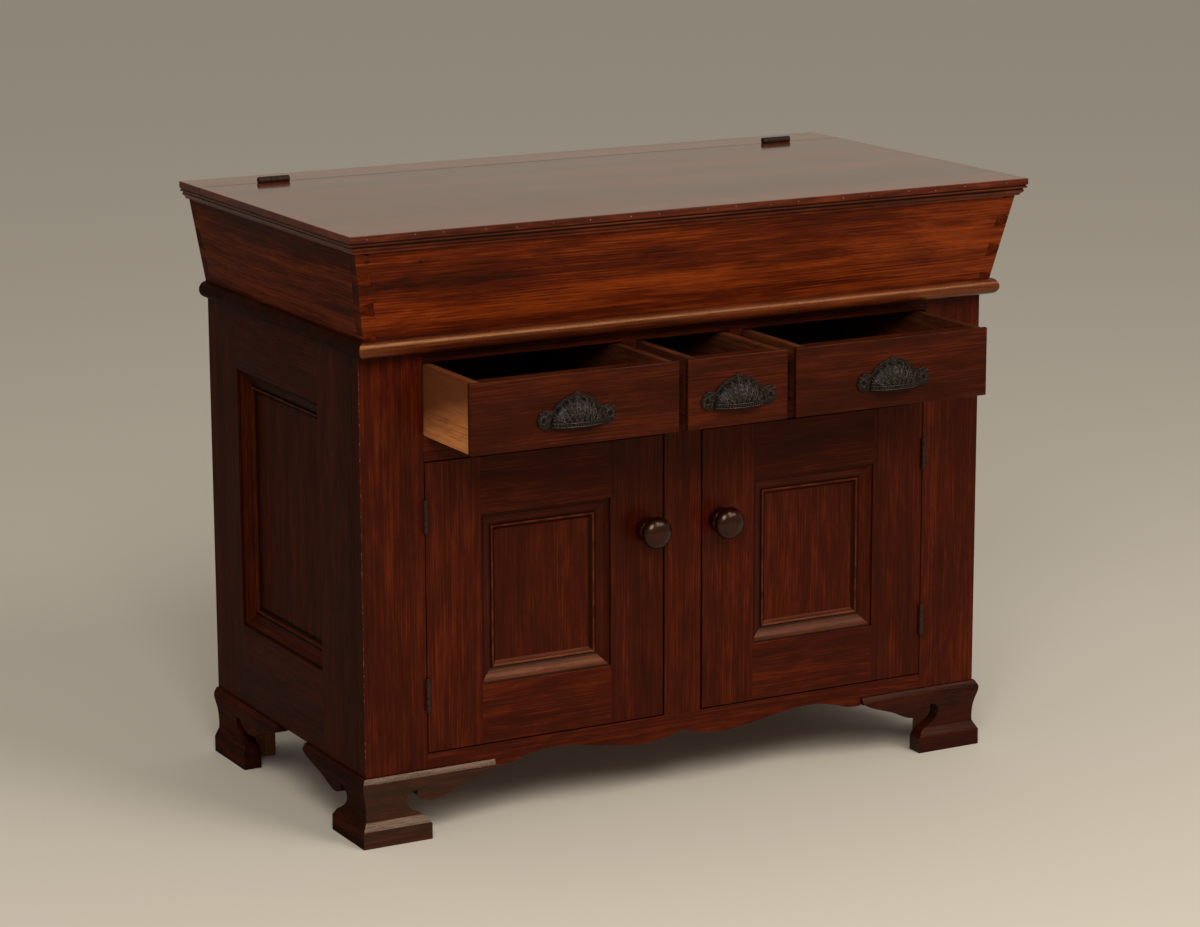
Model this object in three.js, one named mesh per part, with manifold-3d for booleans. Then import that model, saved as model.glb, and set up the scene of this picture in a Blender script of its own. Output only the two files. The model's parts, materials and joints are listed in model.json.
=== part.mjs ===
// A dry sink cabinet: a low cupboard with two framed doors and three lipped drawers, and on it a
// canted well under a hinged lid. Millimetres, +X to the right, +Y to the back, +Z up.
// The case is drawn round its own middle, and at the end the whole object moves along Y, so that
// the origin is on the floor under the middle of the space that it takes with its drawers out.
import * as THREE from 'three';
import { mergeVertices } from 'three/addons/utils/BufferGeometryUtils.js';
import Module from 'manifold-3d';

const wasm = await Module();
wasm.setup();

// Fits. A piece that is let into another keeps the fit gap, and cutting shapes reach past what
// they cut by the overrun.
const fitGap = 0.3;
const overrun = 40;

// Case
const caseWidth = 1042;
const caseDepth = 541;
const caseHeight = 614.5;
const footHeight = 103;
const sideThickness = 26;
const faceThickness = 24;

// Face frame
const stileWidth = 99;
const topRailHeight = 19;
const topRailDepth = 90.5;
const drawerOpeningHeight = 105.5;
const midRailHeight = 37;
const bottomRailHeight = 23;
const centreStileWidth = 62;
const dividerWidth = 24;
const centreOpeningWidth = 155;

// Scalloped lower edge of the bottom rail, from its middle to the foot: shares of the way to the
// foot, and of the drop below the case. The edge comes to a point at the first and last of these.
const scallopDrop = 16.2;
const scallopShares = [
  [0, 0.28], [0.126, 0.82], [0.227, 1], [0.344, 0.74], [0.457, 0.4],
  [0.587, 0], [0.688, -0.12], [0.789, 0], [0.924, 0.71],
];
const scallopEndShares = [[0.924, 0.71], [0.96, 0.77], [1, 0.77]];
const scallopSteps = 22;

// Side walls
const sideFrontStileWidth = 118.5;
const sideBackStileWidth = 106.5;
const sideTopRailHeight = 92.5;
const sideBottomRailHeight = 125;
const sidePanelThickness = 7;
const sideMouldingWidth = 34;
const panelLap = 10;

// Section of the moulding rings: shares of the ring's width inwards and of the panel's depth
const ringShares = [
  [0, 1], [0, 0.09], [0.1, 0.09], [0.13, 0.2], [0.22, 0.37], [0.36, 0.52], [0.52, 0.63],
  [0.65, 0.69], [0.67, 0.74], [0.685, 0.63], [0.72, 0.56], [0.77, 0.56], [0.81, 0.62],
  [0.84, 0.73], [1, 0.97], [1, 1],
];

// Boards inside the case
const backThickness = 12;
const backRabbet = 12;
const backJointGap = 0.6;
const floorThickness = 22;
const floorRise = 7;
const shelfThickness = 18;
const shelfBottom = 330;
const shelfSetback = 70.5;
const dustBoardThickness = 12;
const guideHeight = 12;

// Well: the floor board, and canted boards whose feet stand out from the case by the set-out and
// whose tops lean further out by the splay
const wellFloorThickness = 25;
const wellFloorSideOver = 13;
const wellFloorFrontOver = 34;
const wellFloorBackOver = 1.5;
const wellFloorCornerRadius = 16;
const wellHeight = 134.5;
const wellBoardThickness = 20;
const wellEndSetOut = 2;
const wellEndSplay = 24.6;
const wellFrontSetOut = 23;
const wellFrontSplay = 30;
const wellTailCount = 3;
const tailRootShare = 0.26;
const tailEndShare = 0.36;

// Lid and the fixed rail behind it
const lidThickness = 20;
const lidEndClearance = 0.4;
const lidFrontClearance = 1;
const lidRailGap = 1.5;
const backRailDepth = 77.5;
const backRailOver = 3.5;

// Section of the lid's moulding, from the outer face inwards and from the top downwards, as
// shares of its thickness and of its height
const lidMouldingThickness = 12;
const lidMouldingHeight = 26;
const lidMouldingShares = [
  [1, 1], [0.75, 1], [0.71, 0.73], [0.5, 0.675], [0.53, 0.65], [0.38, 0.6], [0.17, 0.545],
  [0.05, 0.5], [0.09, 0.43], [0, 0.385], [0, 0.06], [0.12, 0], [1, 0],
];

// Doors
const hingeSideGap = 1.2;
const lockSideGap = 2.5;
const doorEndGap = 1.5;
const doorStopGap = 0.3;
const doorStileWidth = 88;
const doorTopRailHeight = 85;
const doorBottomRailHeight = 88.5;
const doorPanelDepth = 16;
const doorPanelThickness = 7;
const doorMouldingWidth = 30;

// Knobs: a lathe profile as shares of the head's radius and of the reach from the door
const knobRadius = 24.3;
const knobReach = 46;
const knobShares = [
  [0.68, 0], [0.76, 0.06], [0.81, 0.15], [0.82, 0.25], [0.77, 0.35], [0.66, 0.41], [0.52, 0.43],
  [0.5, 0.46], [0.54, 0.49], [0.74, 0.51], [0.9, 0.55], [0.98, 0.61], [1, 0.67], [0.98, 0.74],
  [0.91, 0.815], [0.79, 0.88], [0.63, 0.935], [0.42, 0.975], [0.21, 0.994], [0, 1],
];
const knobTenonRadius = 6;
const knobTenonLength = 15;
const knobFromDoorEdge = 28;
const knobFromDoorTop = 138.5;
const knobSegments = 22;

// Door hinges and lid hinges: iron butts with the barrel proud
const doorHingeLength = 50;
const doorBarrelRadius = 3.2;
const doorLeafWidth = 22;
const doorLeafThickness = 1.5;
const doorPinRadius = 1.4;
const doorHingeFromTop = 78;
const doorHingeFromBottom = 86.5;
const lidHingeLength = 50;
const lidBarrelRadius = 5;
const lidBarrelProud = 4;
const lidLeafWidth = 18;
const lidLeafThickness = 2;
const lidPinRadius = 2;
const lidHingeInset = 108;
const knuckleCount = 5;
const barrelSegments = 12;

// Drawers
const drawerPulledOut = 151;
const lipOverlap = 5;
const lipThickness = 7;
const drawerFrontThickness = 24;
const drawerSideThickness = 12;
const drawerBackThickness = 12;
const drawerBottomThickness = 8;
const drawerBottomRise = 9;
const drawerGroove = 6;
const drawerLength = 440;
const drawerSideGap = 2;
const drawerTopGap = 2;
const drawerFrontLift = 1.2;
const drawerBackDrop = 10;

// Cup pulls: a plate with a gable and two ears, and a hollow cup on it that is open below. The
// plate's outline is shares of half its width and half its height, right half only.
const pullWidth = 126;
const pullHeight = 51;
const pullPlateThickness = 3;
const pullFootShare = -0.9;
const pullShares = [
  [0, 1], [0.1, 0.84], [0.19, 0.76], [0.38, 0.57], [0.52, 0.33], [0.6, 0.04], [0.7, 0.04],
  [0.82, 0.12], [0.93, -0.16], [1, -0.47], [0.94, -0.82], [0.8, -1], [0.66, pullFootShare],
  [0, pullFootShare],
];
const cupWidth = 86;
const cupHeight = 40;
const cupReach = 20;
const cupWall = 2.4;
const cupSegments = 24;

// Bracket feet. The swell is how far the face stands out from the case: shares of the foot's
// height and of the greatest swell. The outline is the void under the bracket: shares of the
// bracket's reach from the corner and of the foot's height.
const footReach = 205;
const backFootReach = 235;
const rearBracketReach = 150;
const bracketThickness = 20;
const footBlockWidth = 46;
const footSwell = 8;
const footSwellShares = [
  [0, 1], [0.238, 1], [0.35, 0.15], [0.37, 0.1], [0.447, 0.05], [0.544, 0.1], [0.62, 0.21],
  [0.7, 0.41], [0.777, 0.68], [0.845, 0.9], [0.893, 0.96], [0.942, 0.88], [0.971, 0.69],
  [0.99, 0.44], [1, 0.19],
];
const padShare = 0.493;
const padHeightShare = 0.225;
const neckShares = [[0.459, 0.33], [0.375, 0.42], [0.32, 0.52], [0.31, 0.63], [0.34, 0.72], [0.388, 0.743]];
const lobeEndShare = 0.898;
const lobeShares = [
  [0.396, 0.65], [0.434, 0.59], [0.49, 0.553], [0.56, 0.558], [0.64, 0.612], [0.717, 0.689],
  [0.815, 0.757], [0.917, 0.825], [0.99, lobeEndShare],
];
const outlineSteps = 14;
const rearNotchEndShare = 0.72;
const rearNotchShares = [[0.5, 0], [0.5, 0.3], [0.62, 0.55], [0.8, 0.68], [1, rearNotchEndShare]];

// Finishes
const redBrown = new THREE.MeshStandardMaterial({ color: '#4a2114', roughness: 0.38 });
const sideBrown = new THREE.MeshStandardMaterial({ color: '#3a1c13', roughness: 0.4 });
const orangeBrown = new THREE.MeshStandardMaterial({ color: '#6d3518', roughness: 0.34 });
const lidBrown = new THREE.MeshStandardMaterial({ color: '#5e3018', roughness: 0.25 });
const darkKnob = new THREE.MeshStandardMaterial({ color: '#1d0f0b', roughness: 0.25 });
const darkPull = new THREE.MeshStandardMaterial({ color: '#23201d', roughness: 0.45, metalness: 0.7 });
const plainPine = new THREE.MeshStandardMaterial({ color: '#9a6f45', roughness: 0.7 });
const iron = new THREE.MeshStandardMaterial({ color: '#2b2725', roughness: 0.5, metalness: 0.8 });

// Planes that follow from the sizes
const leftX = -caseWidth / 2;
const frontY = -caseDepth / 2;
const backY = caseDepth / 2;
const caseTop = footHeight + caseHeight;
const faceBackY = frontY + faceThickness;
const innerX = leftX + sideThickness;
const openingX = leftX + stileWidth;
const drawerTopZ = caseTop - topRailHeight;
const drawerFloorZ = drawerTopZ - drawerOpeningHeight;
const doorTopZ = drawerFloorZ - midRailHeight;
const doorBottomZ = footHeight + bottomRailHeight;
const backBoardY = backY - backThickness;
const dividerX = centreOpeningWidth / 2;
const wellFloorTop = caseTop + wellFloorThickness;
const lidBottom = wellFloorTop + wellHeight;
const lidTop = lidBottom + lidThickness;
const wellEndX = leftX - wellEndSetOut;
const wellEndTopX = wellEndX - wellEndSplay;
const wellFrontY = frontY - wellFrontSetOut;
const wellFrontTopY = wellFrontY - wellFrontSplay;
const lidLeftX = wellEndTopX - lidEndClearance;
const lidFrontY = wellFrontTopY - lidFrontClearance;
const railBackY = backY + backRailOver;
const railFrontY = railBackY - backRailDepth;
const lidBackY = railFrontY - lidRailGap;

// Turns a three.js geometry into a solid that can be joined and cut
function solidOf(geometry) {
  geometry.deleteAttribute('normal');
  geometry.deleteAttribute('uv');
  const merged = mergeVertices(geometry);
  const index = Array.from(merged.index.array);
  const triVerts = [];
  for (let i = 0; i < index.length; i += 3) {
    const [a, b, c] = index.slice(i, i + 3);
    if (a !== b && b !== c && c !== a) triVerts.push(a, b, c);
  }
  return new wasm.Manifold(new wasm.Mesh({
    numProp: 3,
    vertProperties: Float32Array.from(merged.attributes.position.array),
    triVerts: Uint32Array.from(triVerts),
  }));
}

// Turns a solid back into a three.js geometry
function geometryOf(solid) {
  const { vertProperties, triVerts } = solid.getMesh();
  const geometry = new THREE.BufferGeometry();
  geometry.setAttribute('position', new THREE.BufferAttribute(vertProperties, 3));
  geometry.setIndex(new THREE.BufferAttribute(triVerts, 1));
  geometry.computeVertexNormals();
  return geometry;
}

// A box between two values on each axis
function block([x0, x1], [y0, y1], [z0, z1]) {
  const geometry = new THREE.BoxGeometry(x1 - x0, y1 - y0, z1 - z0);
  geometry.translate((x0 + x1) / 2, (y0 + y1) / 2, (z0 + z1) / 2);
  return solidOf(geometry);
}

// An outline of points, drawn straight through to a length along one axis
function extrusion(points, length, basis, start) {
  const outline = new THREE.Shape(points.map(([u, v]) => new THREE.Vector2(u, v)));
  const geometry = new THREE.ExtrudeGeometry(outline, { depth: length, bevelEnabled: false });
  geometry.applyMatrix4(new THREE.Matrix4().makeBasis(...basis).setPosition(start));
  return solidOf(geometry);
}

const axisX = new THREE.Vector3(1, 0, 0);
const axisY = new THREE.Vector3(0, 1, 0);
const axisZ = new THREE.Vector3(0, 0, 1);
const axisBackY = new THREE.Vector3(0, -1, 0);
const axisDown = new THREE.Vector3(0, 0, -1);

// Outlines of (y, z) along X, of (x, z) along Y, and of (x, y) along Z
function alongX(points, [x0, x1]) {
  return extrusion(points, x1 - x0, [axisY, axisZ, axisX], new THREE.Vector3(x0, 0, 0));
}
function alongY(points, [y0, y1]) {
  return extrusion(points, y1 - y0, [axisX, axisZ, axisBackY], new THREE.Vector3(0, y1, 0));
}
function alongZ(points, [z0, z1]) {
  return extrusion(points, z1 - z0, [axisX, axisY, axisZ], new THREE.Vector3(0, 0, z0));
}

// A round bar along Z
function bar(radius, [x, y], [z0, z1]) {
  const geometry = new THREE.CylinderGeometry(radius, radius, z1 - z0, barrelSegments);
  geometry.rotateX(Math.PI / 2);
  geometry.translate(x, y, (z0 + z1) / 2);
  return solidOf(geometry);
}

function joined(solids) {
  return solids.reduce((whole, solid) => whole.add(solid));
}

// Smooth points through a short list of places
function smooth(places, steps) {
  const curve = new THREE.SplineCurve(places.map(([u, v]) => new THREE.Vector2(u, v)));
  return curve.getPoints(steps).map((point) => [point.x, point.y]);
}

// A section carried round a rectangle, in the XZ plane, with its rise along Y. A lathe with one
// flat for each corner step makes the band round a square of the corner radius, and the corners
// then move apart to those of the rectangle. One step gives mitred corners.
function band(width, height, section, radius, cornerSteps) {
  const segments = 4 * cornerSteps;
  const reach = 1 / Math.cos(Math.PI / segments);
  const profile = section.map(([inset, rise]) => new THREE.Vector2((radius - inset) * reach, rise));
  const geometry = new THREE.LatheGeometry(profile, segments, Math.PI / segments);
  const corners = geometry.attributes.position;
  for (let i = 0; i < corners.count; i += 1) {
    const x = corners.getX(i);
    const z = corners.getZ(i);
    corners.setX(i, x + Math.sign(x) * (width / 2 - radius));
    corners.setZ(i, z + Math.sign(z) * (height / 2 - radius));
  }
  return geometry;
}

const cabinet = new THREE.Group();

function addPiece(name, solid, material, mirrored = false, place = 0) {
  const mesh = new THREE.Mesh(geometryOf(solid), material);
  mesh.name = name;
  mesh.scale.x = mirrored ? -1 : 1;
  mesh.position.x = place;
  cabinet.add(mesh);
}

// The left piece as it is drawn, and the right piece as its mirror image
function addPair(nameOf, solid, material) {
  addPiece(nameOf('left'), solid, material);
  addPiece(nameOf('right'), solid, material, true);
}

// A moulding ring on the face of a panel, mitred at the corners. Its rise goes from the panel out
// to the face of the frame, and it faces -Y.
function ringMoulding(width, height, ringWidth, depth) {
  const section = ringShares.map(([inset, sink]) => [inset * ringWidth, sink * depth]).reverse();
  section.push(section[0]);
  return band(width, height, section, 2 * ringWidth, 1);
}

// Hinges. Drawn with the barrel's axis on local Z and the leaves reaching along +Y: the fixed
// leaf, with the pin, on the -X side, and the moving leaf on the +X side.
function hinge({ length, barrelRadius, pinRadius, leafWidth, leafThickness }) {
  const knuckle = length / knuckleCount;
  const bottom = -length / 2;
  const leaf = (side) => {
    const near = side * fitGap / 2;
    const far = near + side * leafThickness;
    return block([Math.min(near, far), Math.max(near, far)], [0, leafWidth], [bottom, -bottom]);
  };
  let fixed = leaf(-1);
  let moving = leaf(1);
  for (let i = 0; i < knuckleCount; i += 1) {
    const z0 = bottom + i * knuckle;
    const z1 = z0 + knuckle;
    const ring = bar(barrelRadius, [0, 0], [z0 + fitGap / 2, z1 - fitGap / 2]);
    const room = bar(barrelRadius + fitGap, [0, 0], [z0 - fitGap / 2, z1 + fitGap / 2]);
    if (i % 2 === 0) {
      moving = moving.subtract(room);
      fixed = fixed.add(ring);
    } else {
      fixed = fixed.subtract(room);
      moving = moving.add(ring);
    }
  }
  const pin = bar(pinRadius, [0, 0], [bottom + fitGap, -bottom - fitGap]);
  const bore = bar(pinRadius + fitGap, [0, 0], [bottom - overrun, overrun - bottom]);
  // The room that both leaves and the barrel need in the wood round them
  const far = fitGap / 2 + leafThickness + fitGap;
  const wood = [bottom - fitGap, fitGap - bottom];
  const room = block([-far, far], [0, leafWidth + fitGap], wood)
    .add(bar(barrelRadius + fitGap, [0, 0], wood));
  return { fixed: fixed.add(pin), moving: moving.subtract(bore), room };
}

// A hinge's solid carried to its place, as a solid
function placed(solid, matrix) {
  const geometry = geometryOf(solid);
  geometry.applyMatrix4(matrix);
  return solidOf(geometry);
}

// Side walls: frame with a panel rabbet inside and a rabbet for the back boards
const sidePanelY = [faceBackY + sideFrontStileWidth, backY - sideBackStileWidth];
const sidePanelZ = [footHeight + sideBottomRailHeight, caseTop - sideTopRailHeight];
const sidePanelX = innerX - sidePanelThickness;
const grown = ([low, high], by) => [low - by, high + by];

const sideFrame = block([leftX, innerX], [faceBackY, backY], [footHeight, caseTop])
  .subtract(block([leftX - overrun, innerX + overrun], sidePanelY, sidePanelZ))
  .subtract(block([sidePanelX, innerX + overrun], grown(sidePanelY, panelLap), grown(sidePanelZ, panelLap)))
  .subtract(block([innerX - backRabbet, innerX + overrun], [backBoardY, backY + overrun],
    [footHeight - overrun, caseTop + overrun]));
addPair((side) => `side_${side}_frame`, sideFrame, sideBrown);

const sidePanel = block([sidePanelX, innerX], grown(sidePanelY, panelLap - fitGap),
  grown(sidePanelZ, panelLap - fitGap));
addPair((side) => `side_${side}_panel`, sidePanel, sideBrown);

const middleOf = ([low, high]) => (low + high) / 2;
const spanOf = ([low, high]) => high - low;
const sideRing = ringMoulding(spanOf(sidePanelY) - 2 * fitGap, spanOf(sidePanelZ) - 2 * fitGap,
  sideMouldingWidth, sidePanelX - leftX);
sideRing.rotateZ(-Math.PI / 2);
sideRing.translate(leftX, middleOf(sidePanelY), middleOf(sidePanelZ));
addPair((side) => `side_${side}_moulding`, solidOf(sideRing), sideBrown);

// Door hinges come before the stiles, which are let in for them
const doorHinge = hinge({
  length: doorHingeLength,
  barrelRadius: doorBarrelRadius,
  pinRadius: doorPinRadius,
  leafWidth: doorLeafWidth + doorBarrelRadius,
  leafThickness: doorLeafThickness,
});
const doorLeftX = openingX + hingeSideGap;
const doorRightX = -centreStileWidth / 2 - lockSideGap;
const doorLowZ = doorBottomZ + doorEndGap;
const doorHighZ = doorTopZ - doorEndGap;
const doorAxisX = openingX + hingeSideGap / 2;
const doorAxisY = frontY - doorBarrelRadius - fitGap;
const doorHingeZs = { upper: doorHighZ - doorHingeFromTop, lower: doorLowZ + doorHingeFromBottom };
const doorHingePlaces = Object.values(doorHingeZs).map((z) => (
  new THREE.Matrix4().makeTranslation(doorAxisX, doorAxisY, z)));
const doorHingeRooms = joined(doorHingePlaces.map((place) => placed(doorHinge.room, place)));

// Face frame
const stile = block([leftX, openingX], [frontY, faceBackY], [footHeight, caseTop])
  .subtract(doorHingeRooms);
addPair((side) => `stile_${side}`, stile, redBrown);

const topRailBackY = frontY + topRailDepth;
addPiece('top_rail', alongZ([
  [openingX, frontY], [-openingX, frontY], [-openingX, faceBackY], [-innerX, faceBackY],
  [-innerX, topRailBackY], [innerX, topRailBackY], [innerX, faceBackY], [openingX, faceBackY],
], [drawerTopZ, caseTop]), redBrown);
addPiece('mid_rail', block([openingX, -openingX], [frontY, faceBackY], [doorTopZ, drawerFloorZ]), redBrown);
addPiece('centre_stile', block([-centreStileWidth / 2, centreStileWidth / 2], [frontY, faceBackY],
  [doorBottomZ, doorTopZ]), redBrown);

const scallopReach = -leftX - footReach - fitGap;
const scallopPoint = ([along, drop]) => [along * scallopReach, footHeight - drop * scallopDrop];
const halfEdge = [
  ...smooth(scallopShares.map(scallopPoint), scallopSteps),
  ...scallopEndShares.map(scallopPoint).slice(1),
];
const mirroredEdge = halfEdge.slice(1).reverse().map(([x, z]) => [-x, z]);
addPiece('bottom_rail', alongY([
  [openingX, footHeight], [-scallopReach, footHeight], ...mirroredEdge, ...halfEdge,
  [scallopReach, footHeight], [-openingX, footHeight], [-openingX, doorBottomZ],
  [openingX, doorBottomZ],
], [frontY, faceBackY]), redBrown);

// Dividers run from the face back to the back boards, and rise behind the top rail to the case top
const divider = alongX([
  [frontY, drawerFloorZ], [backBoardY, drawerFloorZ], [backBoardY, caseTop],
  [topRailBackY, caseTop], [topRailBackY, drawerTopZ], [frontY, drawerTopZ],
], [-dividerX - dividerWidth, -dividerX]);
addPair((side) => `divider_${side}`, divider, redBrown);

// Boards inside
const insideX = [innerX, -innerX];
const guideZ = [drawerFloorZ - dustBoardThickness, drawerFloorZ + guideHeight];
const guide = (x0, x1) => block([x0, x1], [faceBackY, backBoardY], guideZ);
addPiece('dust_board', joined([
  block(insideX, [faceBackY, backBoardY], [drawerFloorZ - dustBoardThickness, drawerFloorZ]),
  guide(innerX, openingX),
  guide(-openingX, -innerX),
]), plainPine);
const floorZ = [footHeight + floorRise, footHeight + floorRise + floorThickness];
addPiece('cabinet_floor', block(insideX, [faceBackY, backBoardY], floorZ), plainPine);
addPiece('shelf', block(insideX, [frontY + shelfSetback, backBoardY],
  [shelfBottom, shelfBottom + shelfThickness]), plainPine);
const backBoard = block([innerX - backRabbet, -backJointGap / 2], [backBoardY, backY], [footHeight, caseTop]);
addPair((side) => `back_board_${side}`, backBoard, plainPine);

// Well floor: a board with a half-round nose, cut square at the back
const noseRadius = wellFloorThickness / 2;
const noseSteps = 8;
const noseSection = [[wellFloorCornerRadius, -noseRadius]];
for (let i = 0; i <= noseSteps; i += 1) {
  const angle = Math.PI * (i / noseSteps - 1 / 2);
  noseSection.push([noseRadius * (1 - Math.cos(angle)), noseRadius * Math.sin(angle)]);
}
noseSection.push([wellFloorCornerRadius, noseRadius]);
const wellFloorFrontY = frontY - wellFloorFrontOver;
const wellFloorBackY = backY + wellFloorBackOver;
const wellFloorWidth = caseWidth + 2 * wellFloorSideOver;
const nosedDepth = wellFloorBackY - wellFloorFrontY + overrun;
const nosedBoard = band(wellFloorWidth, nosedDepth, noseSection, wellFloorCornerRadius, 4);
nosedBoard.rotateX(Math.PI / 2);
nosedBoard.translate(0, wellFloorFrontY + nosedDepth / 2, caseTop + noseRadius);
addPiece('well_floor', solidOf(nosedBoard).subtract(block([-wellFloorWidth, wellFloorWidth],
  [wellFloorBackY, wellFloorBackY + 2 * overrun], [caseTop - overrun, wellFloorTop + overrun])), orangeBrown);

// Canted boards. The front and the back run the full width between the ends' outer faces, the
// ends run the full depth, and trapezoid tails of the front and back pass through the ends.
const endLean = wellEndSplay / wellHeight;
const frontLean = wellFrontSplay / wellHeight;
const endFaceX = (z) => wellEndX - endLean * (z - wellFloorTop);
const endRun = wellBoardThickness * Math.hypot(1, endLean);
const frontRun = wellBoardThickness * Math.hypot(1, frontLean);
const betweenEnds = alongY([
  [wellEndX, wellFloorTop], [-wellEndX, wellFloorTop], [-wellEndTopX, lidBottom], [wellEndTopX, lidBottom],
], [wellFrontTopY - overrun, backY + overrun]);
const behindFront = alongX([
  [wellFrontY, wellFloorTop], [backY, wellFloorTop], [backY, lidBottom], [wellFrontTopY, lidBottom],
], [wellEndTopX - overrun, overrun - wellEndTopX]);

// Each board, with an extra on its inner face and another on its outer face
const frontBoard = (inner, outer) => alongX([
  [wellFrontY - outer, wellFloorTop], [wellFrontY + frontRun + inner, wellFloorTop],
  [wellFrontTopY + frontRun + inner, lidBottom], [wellFrontTopY - outer, lidBottom],
], [wellEndTopX - overrun, overrun - wellEndTopX]);
const backBoardOfWell = (inner, outer) => block([wellEndTopX - overrun, overrun - wellEndTopX],
  [backY - wellBoardThickness - inner, backY + outer], [wellFloorTop, lidBottom]);
const endBoard = (inner, outer) => alongY([
  [wellEndX - outer, wellFloorTop], [wellEndX + endRun + inner, wellFloorTop],
  [wellEndTopX + endRun + inner, lidBottom], [wellEndTopX - outer, lidBottom],
], [wellFrontTopY - overrun, backY + overrun]);

// The tails on the left corner, each grown by an extra at its flanks
const tailPitch = wellHeight / wellTailCount;
const tails = (extra) => {
  const wedges = [];
  for (let i = 0; i < wellTailCount; i += 1) {
    const middle = wellFloorTop + (i + 1 / 2) * tailPitch;
    const root = tailRootShare * tailPitch + extra;
    const end = tailEndShare * tailPitch + extra;
    const rootX = (z) => endFaceX(z) + endRun + 2 * fitGap;
    wedges.push(alongY([
      [rootX(middle - root), middle - root], [rootX(middle + root), middle + root],
      [endFaceX(middle), middle + end], [endFaceX(middle) - overrun, middle + end],
      [endFaceX(middle) - overrun, middle - end], [endFaceX(middle), middle - end],
    ], [wellFrontTopY - overrun, backY + overrun]));
  }
  return joined(wedges);
};
const mirrorX = new THREE.Matrix4().makeScale(-1, 1, 1);
function mirrorOf(solid) {
  const geometry = geometryOf(solid);
  geometry.applyMatrix4(mirrorX);
  const turned = Array.from(geometry.index.array).reverse();
  geometry.setIndex(turned);
  return solidOf(geometry);
}
const cutOver = overrun / 4;
const pins = endBoard(fitGap, cutOver).subtract(tails(0));
const bothPins = pins.add(mirrorOf(pins));
addPiece('well_front', frontBoard(0, 0).intersect(betweenEnds).subtract(bothPins), orangeBrown);
addPiece('well_back', backBoardOfWell(0, 0).intersect(betweenEnds).subtract(bothPins), orangeBrown);
const sockets = frontBoard(fitGap, cutOver).add(backBoardOfWell(fitGap, cutOver)).intersect(tails(fitGap));
addPair((side) => `well_end_${side}`, endBoard(0, 0).intersect(behindFront).subtract(sockets), orangeBrown);

// Lid hinges stand in the gap behind the lid: the leaves hang down, and the barrel lies on top
const lidHinge = hinge({
  length: lidHingeLength,
  barrelRadius: lidBarrelRadius,
  pinRadius: lidPinRadius,
  leafWidth: lidLeafWidth + lidBarrelProud,
  leafThickness: lidLeafThickness,
});
const lidAxisY = (lidBackY + railFrontY) / 2;
const lidAxisZ = lidTop + lidBarrelProud;
const lidHingePlace = new THREE.Matrix4().makeBasis(axisBackY, axisDown, axisX)
  .setPosition(lidLeftX + lidHingeInset, lidAxisY, lidAxisZ);
const lidHingeRoom = placed(lidHinge.room, lidHingePlace);
const lidHingeRooms = lidHingeRoom.add(mirrorOf(lidHingeRoom));

// Lid board, its moulding on three sides, and the fixed rail with the same moulding on its ends
const lidZ = [lidBottom, lidTop];
addPiece('lid_board', block([lidLeftX, -lidLeftX], [lidFrontY, lidBackY], lidZ)
  .subtract(lidHingeRooms), lidBrown);

const lidSection = lidMouldingShares.map(([inset, drop]) => (
  [inset * lidMouldingThickness, -drop * lidMouldingHeight]));
lidSection.push(lidSection[0]);
const topWidth = 2 * (lidMouldingThickness - lidLeftX);
const bandDepth = lidBackY - lidFrontY + lidMouldingThickness + 2 * overrun;
const lidBand = band(topWidth, bandDepth, lidSection, 2 * lidMouldingThickness, 1);
lidBand.rotateX(Math.PI / 2);
lidBand.translate(0, lidFrontY - lidMouldingThickness + bandDepth / 2, lidTop);
addPiece('lid_moulding', solidOf(lidBand).subtract(block([-topWidth, topWidth],
  [lidBackY, lidBackY + 3 * overrun], [lidBottom - overrun, lidTop + overrun])), lidBrown);

const railEnd = alongY(lidMouldingShares.map(([inset, drop]) => (
  [lidLeftX - lidMouldingThickness * (1 - inset), lidTop - drop * lidMouldingHeight])),
[railFrontY, railBackY]);
const railTongue = lidMouldingThickness / 6;
addPiece('back_rail', block([lidLeftX - railTongue, railTongue - lidLeftX], [railFrontY, railBackY], lidZ)
  .add(railEnd).add(mirrorOf(railEnd)).subtract(lidHingeRooms), lidBrown);

addPair((side) => `lid_hinge_${side}_rail_leaf`, placed(lidHinge.fixed, lidHingePlace), iron);
addPair((side) => `lid_hinge_${side}_lid_leaf`, placed(lidHinge.moving, lidHingePlace), iron);

// Doors: frame with a rabbet behind, panel, moulding ring and knob
const doorBackY = faceBackY - doorStopGap;
const doorPanelX = [doorLeftX + doorStileWidth, doorRightX - doorStileWidth];
const doorPanelZ = [doorLowZ + doorBottomRailHeight, doorHighZ - doorTopRailHeight];
const doorPanelY = frontY + doorPanelDepth;
const knobX = doorRightX - knobFromDoorEdge;
const knobZ = doorHighZ - knobFromDoorTop;

function turned(shares, tenonRadius, tenonLength) {
  const profile = [new THREE.Vector2(0, -tenonLength), new THREE.Vector2(tenonRadius, -tenonLength),
    new THREE.Vector2(tenonRadius, 0)];
  for (const [out, along] of shares) {
    profile.push(new THREE.Vector2(out * knobRadius, along * knobReach));
  }
  const geometry = new THREE.LatheGeometry(profile, knobSegments);
  geometry.rotateX(Math.PI);
  geometry.translate(knobX, frontY, knobZ);
  return solidOf(geometry);
}
const knobBore = new THREE.CylinderGeometry(knobTenonRadius + fitGap, knobTenonRadius + fitGap,
  2 * (knobTenonLength + fitGap), knobSegments);
knobBore.translate(knobX, frontY, knobZ);

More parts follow.
